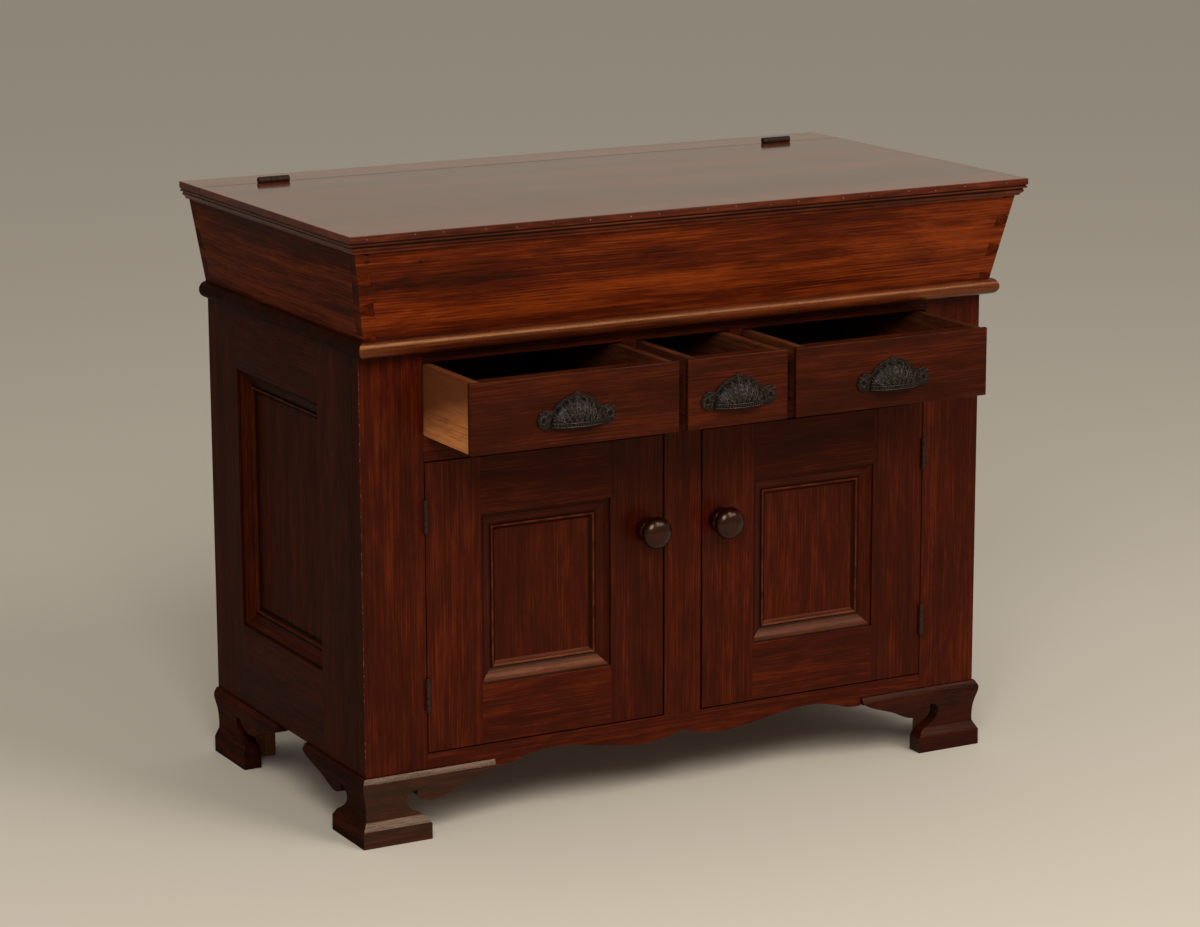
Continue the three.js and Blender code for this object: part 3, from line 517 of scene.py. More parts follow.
def add_disc(bm, sides, radius, depth, matrix, tip=None):
    """Adds a round bar, or a cone if its tip is narrower."""
    return bmesh.ops.create_cone(bm, cap_ends=True, segments=sides, radius1=radius,
                                 radius2=tip or radius, depth=depth, matrix=matrix)


def block(low, high):
    """A box between two corners, in millimetres."""
    low, high = Vector(low), Vector(high)
    bm = with_marks(bmesh.new())
    add_box(bm, (low + high) / 2, high - low)
    return bm


def slab(outline, run):
    """A flat outline drawn out along a vector."""
    bm = with_marks(bmesh.new())
    face = bm.faces.new([bm.verts.new(point) for point in outline])
    made = bmesh.ops.extrude_face_region(bm, geom=[face])
    verts = [v for v in made["geom"] if isinstance(v, bmesh.types.BMVert)]
    bmesh.ops.translate(bm, vec=run, verts=verts)
    return bm


print("a stile is", [round(v, 1) for v in extent("stile_left")[1] - extent("stile_left")[0]], "mm")

# %% [markdown]
# ## Sawing, marking and rounding
# A frame is one solid, but each of its boards has its own grain, so it is sawn with cutting planes.
# Its outer edges are rounded, because no real edge is sharp, and light catches on the rounding.


# %% Saw, mark and round
def cut(bm, point, normal, near, clear=True):
    """Cuts at a plane and can clear what lies in front. Points nearer than near count as on it."""
    everything = bm.verts[:] + bm.edges[:] + bm.faces[:]
    bmesh.ops.bisect_plane(bm, geom=everything, dist=near, plane_co=point, plane_no=normal,
                           clear_outer=clear)


def saw(bm, point, normal):
    """Saws at a plane, keeps the part behind it, and closes the cut."""
    point, normal = Vector(point), Vector(normal).normalized()
    cut(bm, point, normal, 0.005)
    flat = [f for f in bm.faces if all(abs((v.co - point).dot(normal)) < 0.02 for v in f.verts)]
    bmesh.ops.delete(bm, geom=flat, context="FACES")
    bmesh.ops.holes_fill(bm, edges=[e for e in bm.edges if e.is_boundary], sides=0)
    return bm


def mark_faces(bm, name, faces, value=1.0):
    """Stores a number on faces, for the finish to read."""
    layer = bm.faces.layers.float[name]
    for face in faces:
        face[layer] = value


def paint_shade_and_dirt(bm, hidden, value=1.0):
    """Stores painted shade and dirt on the faces for which hidden(centre, normal) is true."""
    faces = [f for f in bm.faces if hidden(f.calc_center_median(), f.normal)]
    mark_faces(bm, "grime", faces, value)


def round_edges(bm, edges, width, steps, clamp=False):
    bmesh.ops.bevel(bm, geom=edges, offset=width, segments=steps, profile=0.5, affect="EDGES",
                    clamp_overlap=clamp, material=-1)


def soften(bm, width=1.0, steps=2, seams=(), shortest=5.0):
    """Rounds the outward edges, all but those in the planes of the seams."""
    def glued(edge):
        return any(all(abs(v.co[axis] - value) < 0.05 for v in edge.verts) for axis, value in seams)

    bmesh.ops.recalc_face_normals(bm, faces=bm.faces)
    edges = [e for e in bm.edges if len(e.link_faces) == 2 and e.calc_length() > shortest
             and e.calc_face_angle_signed(0) > math.radians(50) and not glued(e)]
    round_edges(bm, edges, width, steps, clamp=True)
    return bm


print("a box has 6 faces, and with its edges rounded", len(soften(block((0, 0, 0), (9, 9, 9))).faces))

# %% [markdown]
# ## From mesh to finished piece
# The last step is the same for every piece: faces are shaded smooth, and edges that should stay
# crisp are marked sharp. The board gets its own tone from its name, so it is the same in every run.

# %% Finished pieces
open_pieces = []


def piece(bm, name, body, nodes, slot, grain="z", look=None, second=None):
    """Turns a bmesh in millimetres into a finished piece that rides on a body.

    Faces whose material index is 1 take the second look, such as the dull side of a stile."""
    tone = random.Random(name).random()
    axis = {"x": X, "y": Y, "z": Z}[grain]
    board, end = (bm.faces.layers.float[name] for name in ("board", "end"))
    if not any(e.is_boundary for e in bm.edges):
        bmesh.ops.recalc_face_normals(bm, faces=bm.faces)
    else:
        open_pieces.append(name)
    for face in bm.faces:
        face.smooth = True
        face[board] = tone
        face[end] = float(abs(face.normal.dot(axis)) > 0.75)
    for edge in bm.edges:
        if len(edge.link_faces) == 2:
            angle = math.degrees(edge.calc_face_angle(0))
            small, large = sorted(f.calc_area() for f in edge.link_faces)
            edge.smooth = angle < 38 and (angle < 1.5 or large < 20 * small)
    bmesh.ops.scale(bm, vec=(MM, MM, MM), verts=bm.verts)
    mesh = bpy.data.meshes.new(name)
    bm.to_mesh(mesh)
    bm.free()
    for leftover in ("custom_normal", "UVMap"):
        if leftover in mesh.attributes:
            mesh.attributes.remove(mesh.attributes[leftover])
    obj = add_object(name, mesh)
    for each in filter(None, (look or slot, second)):
        mesh.materials.append(finish(each, grain))
    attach(obj, body)
    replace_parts(obj, *nodes)
    return obj


print("marks on every face:", ", ".join(MARKS))

# %% [markdown]
# ## Framed walls and doors
# A frame is two stiles, which run the full height, and two rails between them. The opening inside
# the moulding says where the joints are, so four cuts part the one solid into its four boards.


# %% Frames
def framed(node, ring, axis, body, slot, width):
    """Saws a frame solid into two stiles and two rails."""
    low, high = extent(ring)
    low, high = low[axis] - 0.3, high[axis] + 0.3
    middle = sum(extent(ring), Vector())[2] / 2
    across = (X, Y)[axis]
    corners = extent(node)
    inner = Vector((min(abs(c.x) for c in corners) + 1, 0, corners[0].z + 1))
    outer = Vector((max(abs(c.x) for c in corners) - 1, 0, corners[1].z - 1))
    seams = [(axis, low), (axis, high)]
    along = "xy"[axis]
    left, right = (across * low, -across), (across * high, across)
    parts = {"stile_a": ("z", [(across * low, across)]),
             "stile_b": ("z", [(across * high, -across)]),
             "rail_top": (along, [left, right, (Z * middle, -Z)]),
             "rail_bottom": (along, [left, right, (Z * middle, Z)])}

    def on_rim(at, way):
        return abs(way.y) < 0.8 and (abs(at.x) > outer.x or abs(at.x) < inner.x
                                     or not inner.z < at.z < outer.z)

    for label, (grain, cuts) in parts.items():
        bm = copy_of(node)
        for point, normal in cuts:
            saw(bm, point, normal)
        soften(bm, width, seams=seams)
        # Painted shade on the door frame's edges, which face the gaps round the door and the panel
        if body != "case":
            paint_shade_and_dirt(bm, on_rim)
        piece(bm, f"{node}_{label}", body, [node], slot, grain)


for side in ("left", "right"):
    framed(f"side_{side}_frame", f"side_{side}_moulding", 1, "case", "side_wood", 1.0)
    framed(f"door_{side}_frame", f"door_{side}_moulding", 0, f"door_{side}", "case_wood", 1.0)
    for name, body, slot in ((f"side_{side}", "case", "side_wood"),
                             (f"door_{side}", f"door_{side}", "case_wood")):
        piece(copy_of(f"{name}_panel"), f"{name}_board", body, [f"{name}_panel"], slot)

# %% [markdown]
# ## Mouldings
# A moulding is a stick with one section all along, cut at 45 degrees where two sticks meet. The
# section is a short list of strokes: each stroke is a smooth line through a few places, and
# strokes meet in sharp corners.


# %% Curves and sections
def curve(places, steps=4):
    """Points on a smooth line through a few places."""
    places = [Vector(p) for p in places]
    if len(places) == 2:
        return places
    ends = [2 * places[0] - places[1], *places, 2 * places[-1] - places[-2]]
    points = [places[0]]
    for a, b, c, d in zip(ends, ends[1:], ends[2:], ends[3:]):
        for step in range(1, steps + 1):
            t = step / steps
            points.append((2 * b + (c - a) * t + (2 * a - 5 * b + 4 * c - d) * t ** 2
                           + (3 * b - a - 3 * c + d) * t ** 3) / 2)
    return points


def section(strokes, width, depth, steps=4):
    """Joins strokes of shares, each from where the one before ends, into an outline in millimetres."""
    points = []
    here = strokes[-1][-1]
    for stroke in strokes:
        points += curve([here, *stroke], steps)[1:]
        here = stroke[-1]
    return [Vector((u * width, v * depth)) for u, v in points]


print("a curve through 5 places has", len(curve([(i, i * i) for i in range(5)])), "points")

# %% [markdown]
# One face with the section's shape is extruded to the length of the stick, and the mitres are
# sawn, as a joiner would do it. That keeps the corners of a ring tight without any fitting.


# %% Moulding sticks
def stick(outline, start, run, inward, down, mitres, dark, hollow_shade):
    """A moulding from start along run. The outline goes inward and down from its outer top edge.

    Dark lists the hollows of the section that are painted darker as shade, each from (u, v) to
    (u, v), and hollow_shade is how dark. The flat top has material index 1."""
    bm = slab([start + inward * u + down * v for u, v in outline], run)
    way = run.normalized()
    if mitres[0]:
        saw(bm, start, inward - way)
    if mitres[1]:
        saw(bm, start + run, inward + way)
    bmesh.ops.recalc_face_normals(bm, faces=bm.faces)
    for (u0, v0), (u1, v1) in dark:
        paint_shade_and_dirt(bm, lambda at, normal: u0 < (at - start).dot(inward) < u1
              and v0 < (at - start).dot(down) < v1 and abs(normal.dot(way)) < 0.5, hollow_shade)
    for face in bm.faces:
        face.material_index = int(face.normal.dot(down) < -0.8)
    return bm


ring_strokes = [
    [(0, 0.09)],
    [(0.085, 0.09)],
    [(0.1, 0.1), (0.105, 0.15)],
    [(0.13, 0.2), (0.22, 0.37), (0.36, 0.52), (0.52, 0.63), (0.65, 0.69)],
    [(0.67, 0.74)],
    [(0.685, 0.63), (0.72, 0.56), (0.77, 0.56), (0.81, 0.62), (0.84, 0.73)],
    [(1, 0.97)],
    [(1, 1)],
    [(0, 1)],
]


def ring(node, body, slot, across, down, width, depth, hollow_shade):
    """Four mitred sticks round a panel. Down points from the face to the panel."""
    low, high = extent(node)
    axis = 0 if across.x else 1
    face = (low if down[1 - axis] > 0 else high)[1 - axis]
    outline = section(ring_strokes, width, depth)
    corners = [Vector((0, 0, z)) + across * u for u, z in (
        (low[axis], low.z), (high[axis], low.z), (high[axis], high.z), (low[axis], high.z))]
    for corner in corners:
        corner[1 - axis] = face
    inwards = (Z, -across, -Z, across)
    # Hollows painted darker as shade: the quirk by the bead, the step at the edge, the step to the panel
    hollows = [((0.57 * width, 0), (0.69 * width, 0.9 * depth)),
               ((0, 0), (0.09 * width, 0.5 * depth)),
               ((0.84 * width, 0), (width, 0.99 * depth))]
    for i, label in enumerate(("bottom", "right", "top", "left")):
        run = corners[(i + 1) % 4] - corners[i]
        # The door's lower stick faces the light, so it takes a paler, shinier copy of the wood: painted light
        sill = label == "bottom" and body != "case"
        look = "sill_wood" if sill else slot
        hidden, stick_shade = (hollows[:2], 1.0) if sill else (hollows, hollow_shade)
        bm = stick(outline, corners[i], run, inwards[i], down, (True, True), hidden, stick_shade)
        # A painted highlight: the bead takes the rubbed colour as a pale line
        places = [(f, f.calc_center_median() - corners[i]) for f in bm.faces]
        bead = [f for f, at in places if 0.69 * width < at.dot(inwards[i]) < 0.79 * width
                and at.dot(down) < 0.7 * depth]
        mark_faces(bm, "wear", bead)
        grain = "z" if i % 2 else "xy"[axis]
        piece(bm, f"{node}_{label}", body, [node], slot, grain, look, look)


for side, outward in (("left", -X), ("right", X)):
    ring(f"side_{side}_moulding", "case", "side_wood", Y, -outward, 34, 19, 1.0)
    ring(f"door_{side}_moulding", f"door_{side}", "case_wood", X, Y, 30, 16, 0.65)

# %% [markdown]
# ## Face frame and inner boards
# The face frame is glued to the front edges of the walls. The stiles are let in for the hinges,
# the top rail is also the board that stops the drawers from tipping, and the bottom rail is cut
# to a scallop below. The boards inside are bare pine.

# %% Face frame and inner boards
HALF_WIDTH = 521.0
DOORWAY = 423.0
FRONT = -183.25
BACK = 357.75
FOOT = 103

for name, grain in (("stile_left", "z"), ("stile_right", "z"), ("top_rail", "x"), ("mid_rail", "x"),
                    ("centre_stile", "z"), ("divider_left", "y"), ("divider_right", "y")):
    bm = soften(copy_of(name), 1.2 if name.startswith("stile") else 0.6)
    if name.startswith("stile"):
        places = [(f, f.calc_center_median()) for f in bm.faces]
        corner = [f for f, at in places if at.y < FRONT + 1.45 and abs(at.x) > HALF_WIDTH - 1.5
                  and abs(f.normal.x) > 0.1 and abs(f.normal.y) > 0.1]
        mark_faces(bm, "wear", corner, 2.0)
        # The side face of a stile takes the darker side wood: painted shade
        for face in bm.faces:
            face.material_index = int(abs(face.normal.x) > 0.9)
    # Painted shade on the edges that face the door openings, and under the middle rail
    paint_shade_and_dirt(bm, lambda at, way: abs(way.x) > 0.6 and abs(at.x) < DOORWAY
          or name == "mid_rail" and way.z < -0.6)
    piece(bm, f"{name}_board", "case", [name], "case_wood", grain, second="side_wood")
for name, grain in (("dust_board", "x"), ("cabinet_floor", "x"), ("shelf", "x"), ("back_board_left", "z"),
                    ("back_board_right", "z")):
    piece(soften(copy_of(name), 0.8), f"{name}_plank", "case", [name], "plain_wood", grain)

low, high = extent("bottom_rail")
reach = 315.7
drop = 16.2
scallop = curve([(0, 0.28), (0.126, 0.82), (0.227, 1), (0.344, 0.74), (0.457, 0.4), (0.587, 0),
                 (0.688, -0.12), (0.789, 0), (0.924, 0.71)], 3)
scallop += [Vector((0.96, 0.77)), Vector((1, 0.77)), Vector((1, 0))]
edge = [(share * reach, FOOT - down * drop) for share, down in scallop]
edge += [(high.x, FOOT), (high.x, high.z)]
edge += [(-x, z) for x, z in reversed(edge[1:])]
bm = slab([(x, low.y, z) for x, z in edge], Y * (high.y - low.y))
paint_shade_and_dirt(soften(bm, 0.7, shortest=3), lambda at, way: way.z > 0.6)
piece(bm, "bottom_rail_board", "case", ["bottom_rail"], "case_wood", "x")
print("scallop points:", len(scallop))

# %% [markdown]
# ## Well
# The floor of the well is a thick board with a half-round nose on three sides: both its edges are
# rounded by nearly half its thickness. The four boards on it lean outwards, and their dovetails
# come with the measured solids.

# %% Well
low, high = extent("well_floor")
bm = block(low, high)
nose_radius = 12.4
nose = [e for e in bm.edges if abs(e.verts[0].co.z - e.verts[1].co.z) < 1
        and not all(abs(v.co.y - high.y) < 0.1 for v in e.verts)]
round_edges(bm, nose, nose_radius, 7)
# The ends of the nose take a darker copy of the side wood: painted shade
for face in bm.faces:
    at_end = abs(face.calc_center_median().x) > high.x - 12
    face.material_index = int(at_end and abs(face.normal.x) > 0.1)
piece(bm, "well_floor_board", "case", ["well_floor"], "well_wood", "x", "nose_wood", "nose_end_wood")

for name, grain in (("well_front", "x"), ("well_back", "x"), ("well_end_left", "y"), ("well_end_right", "y")):
    bm = soften(copy_of(name), 0.25, 1)
    # Painted shade on the faces that turn sideways, and a little on the ends of the end boards
    if "end" in name:
        paint_shade_and_dirt(bm, lambda at, way: abs(way.x) > 0.9, 0.55)
        paint_shade_and_dirt(bm, lambda at, way: abs(way.y) > 0.9, 0.25)
    else:
        paint_shade_and_dirt(bm, lambda at, way: abs(way.x) > 0.8, 0.5)
        for face in bm.faces:
            face.material_index = int(abs(face.normal.x) > 0.8)
    piece(bm, f"{name}_board", "case", [name], "well_wood", grain,
          "well_end_wood" if "end" in name else "well_wood", "well_end_wood")
well_boards = [obj for obj in bpy.data.objects if obj.name.startswith("well_") and "_board" in obj.name]
print("well boards:", len(well_boards))

# %% [markdown]
# ## Lid
# The lid is one wide board with a moulding on three sides, mitred at the front corners. Behind it
# lies a fixed rail with the same moulding on its ends, so that the closed top looks like one
# board. The moulding's section has a flat fascia, a quirk and a small ogee below it.

# %% Lid
lid_strokes = [
    [(0.12, 0)],
    [(0.035, 0.016), (0, 0.06)],
    [(0, 0.35)],
    [(0.02, 0.375), (0.2, 0.385)],
    [(0.2, 0.46)],
    [(0.08, 0.475), (0.06, 0.5), (0.08, 0.55), (0.14, 0.57)],
    [(0.46, 0.585)],
    [(0.46, 0.68)],
    [(0.36, 0.69), (0.36, 0.72)],
    [(0.44, 0.8), (0.58, 0.86), (0.72, 0.9), (0.75, 1)],
    [(1, 1)],
    [(1, 0)],
]
EDGE_WIDTH, EDGE_HEIGHT = 12, 26
lid_outline = section(lid_strokes, EDGE_WIDTH, EDGE_HEIGHT, 3)
low, high = extent("lid_moulding")
front_left = Vector((low.x, low.y, high.z))
front_right = Vector((high.x, low.y, high.z))
back_left = Vector((low.x, high.y, high.z))
quirks = [((u * EDGE_WIDTH, v0 * EDGE_HEIGHT), (EDGE_WIDTH, v1 * EDGE_HEIGHT))
          for u, v0, v1 in ((0.05, 0.37, 0.47), (0.15, 0.57, 0.69))]
for name, start, end, inwards, mitres, grain in (
        ("front", front_left, front_right, Y, (True, True), "x"),
        ("left", back_left, front_left, X, (False, True), "y"),
        ("right", front_right, front_right + back_left - front_left, -X, (True, False), "y")):
    # The quirks are painted darker as shade, more on the front than on the sides
    hollow_shade = 1.0 if name == "front" else 0.4
    bm = stick(lid_outline, start, end - start, inwards, -Z, mitres, quirks, hollow_shade)
    piece(bm, f"lid_moulding_{name}", "lid", ["lid_moulding"], "lid_wood", grain, "edge_wood", "lid_wood")
bm = soften(copy_of("lid_board"), 1.2)
inner_x, back_edge, _ = extent("lid_board")[1]
# Painted shade on the back edge, along the gap to the rail
paint_shade_and_dirt(bm, lambda at, way: at.y > back_edge - 1.3 and way.z > 0.05 and way.y > 0.05)
piece(bm, "lid_plank", "lid", ["lid_board"], "lid_wood", "x")
print("lid is", round(2 * inner_x), "mm wide between its mouldings")

# %% Back rail
SIDES = (("left", -1), ("right", 1))
low, high = extent("back_rail")
bm = copy_of("back_rail")
saw(bm, X * (inner_x - 0.05), X)
saw(bm, X * (0.05 - inner_x), -X)
# Painted shade on the front edge, along the gap to the lid
paint_shade_and_dirt(soften(bm, 1.2), lambda at, way: at.y < low.y + 1.3 and way.z > 0.05 and way.y < -0.05)
piece(bm, "back_rail_plank", "case", ["back_rail"], "lid_wood", "x")
for side, sign in SIDES:
    start = Vector((sign * high.x, high.y, high.z))
    run = Y * (low.y - high.y)
    # Painted shade in the quirks of the rail's ends
    bm = stick(lid_outline, start, run, -X * sign, -Z, (False, False), quirks, 0.4)
    piece(bm, f"back_rail_end_{side}", "case", ["back_rail"], "lid_wood", "y", "edge_wood", "lid_wood")
print("back rail is", round(high.y - low.y), "mm deep")

# %% [markdown]
# The moulding is nailed on. The heads were punched and filled, and the filler has gone pale, so
# they show as a row of small dots.

# %% Nails in the lid's moulding
FACING_FRONT = Matrix.Rotation(math.pi / 2, 4, "X")
nails = with_marks(bmesh.new())
shaken = random.Random("nails")
for x in range(-530, 531, 58):
    sideways, upwards = shaken.uniform(-12, 12), shaken.uniform(-1.5, 1.5)
    spot = Vector((x + sideways, front_left.y - 0.05, front_left.z - 5 + upwards))
    add_disc(nails, 10, 0.9, 0.3, Matrix.Translation(spot) @ FACING_FRONT)
piece(nails, "lid_moulding_nails", "lid", ["lid_moulding"], "lid_wood", "z", "nail_heads")
print("nails:", len(range(-530, 531, 58)))

# %% [markdown]
# ## Knobs
# A turned knob has one profile all round, so a line of points is spun about the axis of the
# lathe. The profile has a wide round collar against the door, a short neck and a domed head.

# %% Turned knobs
knob_strokes = [
    [(0.68, 0)],
    [(0.76, 0.06), (0.81, 0.15), (0.82, 0.25), (0.77, 0.35), (0.66, 0.41)],
    [(0.52, 0.43)],
    [(0.5, 0.46), (0.54, 0.49)],
    [(0.74, 0.51), (0.9, 0.55), (0.98, 0.61), (1, 0.67), (0.98, 0.74), (0.91, 0.815),
     (0.79, 0.88), (0.63, 0.935), (0.42, 0.975), (0.21, 0.994), (0, 1)],
]
for side in ("left", "right"):
    low, high = extent(f"door_{side}_knob")
    face_y = extent(f"door_{side}_frame")[0].y
    centre = Vector(((low.x + high.x) / 2, face_y, (low.z + high.z) / 2))
    profile = section(knob_strokes, high.z - low.z, face_y - low.y)
    bm = with_marks(bmesh.new())
    rim = [bm.verts.new(centre + X * (u / 2) - Y * v) for u, v in [Vector((0, 0)), *profile]]
    line = [bm.edges.new(pair) for pair in zip(rim, rim[1:])]
    bmesh.ops.spin(bm, geom=rim + line, cent=centre, axis=Y, angle=math.tau, steps=56, use_merge=True)
    bmesh.ops.remove_doubles(bm, verts=bm.verts, dist=0.01)
    piece(bm, f"door_{side}_turned_knob", f"door_{side}", [f"door_{side}_knob"], "knob_wood", "z")
print("knob head is", round(high.z - low.z, 1), "mm across")

# %% [markdown]
# ## Hinges
# A butt hinge is two leaves whose knuckles alternate round a pin. Each half is a piece of its
# own, because one stays on the case while the other swings. The half is drawn upright at the
# origin, and a matrix carries it to its place.


# %% Half a hinge
DOOR_HINGE = {"length": 50, "barrel": 3.2, "width": 25.2, "thick": 1.5, "pin": 1.4}
LID_HINGE = {"length": 50, "barrel": 5, "width": 22, "thick": 2, "pin": 2}
KNUCKLES = 5
# Places of the left pins: x and y of the upright ones, and x, y and z of the lying one
DOOR_PIN = (-421.4, -186.75)
LID_PIN = (-440, 283, 901)


def cylinder(bm, radius, low, high, round_off=0.4):
    """A round bar on the Z axis with softened ends."""
    made = add_disc(bm, 24, radius, high - low, Matrix.Translation(Z * ((low + high) / 2)))
    edges = {e for v in made["verts"] for e in v.link_edges}
    rims = {e for e in edges if abs(e.verts[0].co.z - e.verts[1].co.z) < 0.001}
    if round_off:
        round_edges(bm, list(rims), round_off, 2)


def hinge_half(side, length, barrel, width, thick, pin):
    """Half a hinge with its barrel on Z and its leaf along +Y. Side is -1 or +1.

    The half on the -X side holds the pin."""
    bm = with_marks(bmesh.new())
    step = length / KNUCKLES
    first = 0 if side < 0 else 1
    for i in range(first, KNUCKLES, 2):
        low = -length / 2 + i * step
        cylinder(bm, barrel, low + 0.15, low + step - 0.15)
    mark_faces(bm, "wear", bm.faces, 0.6)
    if side < 0:
        inner, outer = length / 2 - 0.3, length / 2 + 0.3 + barrel * 0.05
        cylinder(bm, barrel * 0.72, inner, outer, round_off=0.25)
        cylinder(bm, barrel * 0.72, -outer, -inner, round_off=0.25)
        cylinder(bm, pin, -inner, inner, round_off=0)
    near, far = sorted((side * 0.15, side * (0.15 + thick)))
    for i in range(KNUCKLES):
        start = barrel * 0.5 if i % 2 == first else barrel + 0.4
        low = -length / 2 + i * step
        centre = Vector(((near + far) / 2, (start + width) / 2, low + step / 2))
        size = Vector((far - near, width - start, step))
        add_box(bm, centre, size)
    for z, y in ((-0.32, 0.62), (0, 0.74), (0.32, 0.62)):
        head = Matrix.Translation((side * 0.12, y * width, z * length))
        head = head @ Matrix.Rotation(math.pi / 2, 4, "Y")
        add_disc(bm, 20, 2.7, 0.12, head)
        add_box(bm, Vector((side * 0.06, y * width, z * length)), Vector((0.02, 0.6, 4.6)))
    return bm


print("a knuckle of a door hinge is", DOOR_HINGE["length"] / KNUCKLES, "mm long")


# %% All hinge halves
def carried(bm, matrix):
    """Moves a bmesh. If the matrix mirrors it, piece() turns it right side out again."""
    bmesh.ops.transform(bm, matrix=matrix, verts=bm.verts)
    return bm


for side, sign in SIDES:
    flip = Matrix.Scale(-1, 4, X) if sign > 0 else Matrix.Identity(4)
    for level in ("upper", "lower"):
        low, high = extent(f"door_{side}_{level}_frame_leaf")
        place = Matrix.Translation((*DOOR_PIN, (low.z + high.z) / 2))
        for part, body, leaf in (("frame_leaf", "case", -1), ("door_leaf", f"door_{side}", 1)):
            bm = hinge_half(leaf, **DOOR_HINGE)
            name = f"door_{side}_{level}_{part}"
            piece(carried(bm, flip @ place), f"{name}_iron", body, [name], "hinge_iron")
    # The lid's hinges lie down: their barrels run along x, and their leaves point down
    place = Matrix.Translation(LID_PIN) @ Matrix(((0, 0, 1), (-1, 0, 0), (0, -1, 0))).to_4x4()
    for part, body, leaf in (("rail_leaf", "case", -1), ("lid_leaf", "lid", 1)):
        bm = hinge_half(leaf, **LID_HINGE)
        name = f"lid_hinge_{side}_{part}"
        piece(carried(bm, flip @ place), f"{name}_iron", body, [name], "hinge_iron")

# %% [markdown]
# ## Drawers
# Each drawer is a thick front with a lip at both ends, two sides, a back and a thin bottom in
# grooves. The sides of the one solid are sawn off, and the bottom and the back are boards of
# their own, so that the grain runs along each of them.

# %% Drawers
WALL = 12
GROOVE = 6
BOTTOM = 8

for which in ("left", "centre", "right"):
    body = f"drawer_{which}"
    low, high = extent(f"{body}_box")
    left_x, right_x = low.x + WALL, high.x - WALL
    bottom_low = low.z + 9
    back_y = high.y - WALL
    for label, plane, normal in (("side_a", left_x, X), ("side_b", right_x, -X)):
        bm = saw(copy_of(f"{body}_box"), X * plane, normal)
        # Painted light and shade: the lit outer side of the left drawer is pale, the other boards dark
        outside = which == "left" and label == "side_a"
        piece(soften(bm, 0.8), f"{body}_{label}", body, [f"{body}_box"], "plain_wood", "y",
              "bare_wood" if outside else "drawer_wood")
    bm = block((left_x, back_y, low.z), (right_x, high.y, high.z - 10))
    piece(soften(bm, 0.8), f"{body}_back", body, [f"{body}_box"], "plain_wood", "x", "drawer_wood")
    front_y = extent(f"{body}_front")[1].y - GROOVE
    bm = block((left_x, front_y, bottom_low), (right_x, back_y, bottom_low + BOTTOM))
    piece(bm, f"{body}_bottom", body, [f"{body}_box"], "plain_wood", "x", "drawer_wood")
    bm = soften(copy_of(f"{body}_front"), 1.3)
    piece(bm, f"{body}_face", body, [f"{body}_front"], "case_wood", "x", "front_wood")

# %% [markdown]
# ## Cup pulls
# The pulls are castings: a flat plate with a gable and two ears, and a hollow cup in the middle
# that the fingers reach into from below. Pointed leaves with veins fan out over it, bands of
# beads close it below, and a pebbled ground fills the rest. The plate is an extruded outline, and
# the cup is a quarter of a sphere, stretched. Each ornament is drawn flat and then laid on the
# surface, whose height is a formula.

# %% Surface of a pull
PULL_FACE = 3.0
PULL_HALF = (43.0, 18.4, 39.0)
PULL_SIZE = (63.0, 25.5)
PEBBLES = 280
EAR = (52.5, 12)
half_outline = [(0, 1), (0.1, 0.84), (0.19, 0.76), (0.38, 0.57), (0.52, 0.33), (0.6, 0.04), (0.7, 0.04),
                (0.82, 0.12), (0.93, -0.16), (1, -0.47), (0.94, -0.82), (0.8, -1), (0.66, -0.9),
                (0, -0.9)]
foot_z = -0.9 * PULL_SIZE[1]


def on_pull(x, z):
    """The point of the pull's surface over a place in its plane."""
    half_x, half_y, half_z = PULL_HALF
    inside = 1 - (x / half_x) ** 2 - ((z - foot_z) / half_z) ** 2
    swell = half_y * math.sqrt(inside) if inside > 0 else 0
    return Vector((x, -max(swell, PULL_FACE), z))


def within(x, z, margin):
    """Whether a place lies inside the plate's outline, by a margin."""
    share = (abs(x) + margin) / PULL_SIZE[0]
    top, bottom = (np.interp(share, *zip(*line)) * PULL_SIZE[1]
                   for line in (half_outline[:10], half_outline[:8:-1]))
    return share < 1 and bottom + margin < z < top - margin


print("the middle of the cup stands out", -round(on_pull(0, 0).y, 1), "mm")


# %% Plate and cup
def casting():
    """The plate and the cup, centred on the drawer front, in millimetres."""
    right = [(u * PULL_SIZE[0], v * PULL_SIZE[1]) for u, v in half_outline]
    outline = right + [(-u, v) for u, v in reversed(right[1:-1])]
    bm = soften(slab([(u, 0, v) for u, v in outline], -Y * PULL_FACE), 1.0, shortest=2)
    mark_faces(bm, "wear", bm.faces, 0.25)
    cup = bmesh.new()
    bmesh.ops.create_uvsphere(cup, u_segments=48, v_segments=28, radius=1)
    bmesh.ops.scale(cup, vec=PULL_HALF, verts=cup.verts)
    bmesh.ops.translate(cup, vec=Z * foot_z, verts=cup.verts)
    for point, normal in ((Z * foot_z, -Z), (-Y * 1.5, Y)):
        cut(cup, point, normal, 0.001)
    bmesh.ops.solidify(cup, geom=cup.faces[:], thickness=2.2)
    shell = bpy.data.meshes.new("cup")
    cup.to_mesh(shell)
    cup.free()
    bm.from_mesh(shell)
    return bm


print("plate is", 2 * PULL_SIZE[0], "mm wide")


# %% Lines of the ornament
def bowed(start, end, bow):
    """A line between two places that bows to one side."""
    (x0, z0), (x1, z1) = start, end
    return [start, ((x0 + x1) / 2 - bow * (z1 - z0), (z0 + z1) / 2 + bow * (x1 - x0)), end]


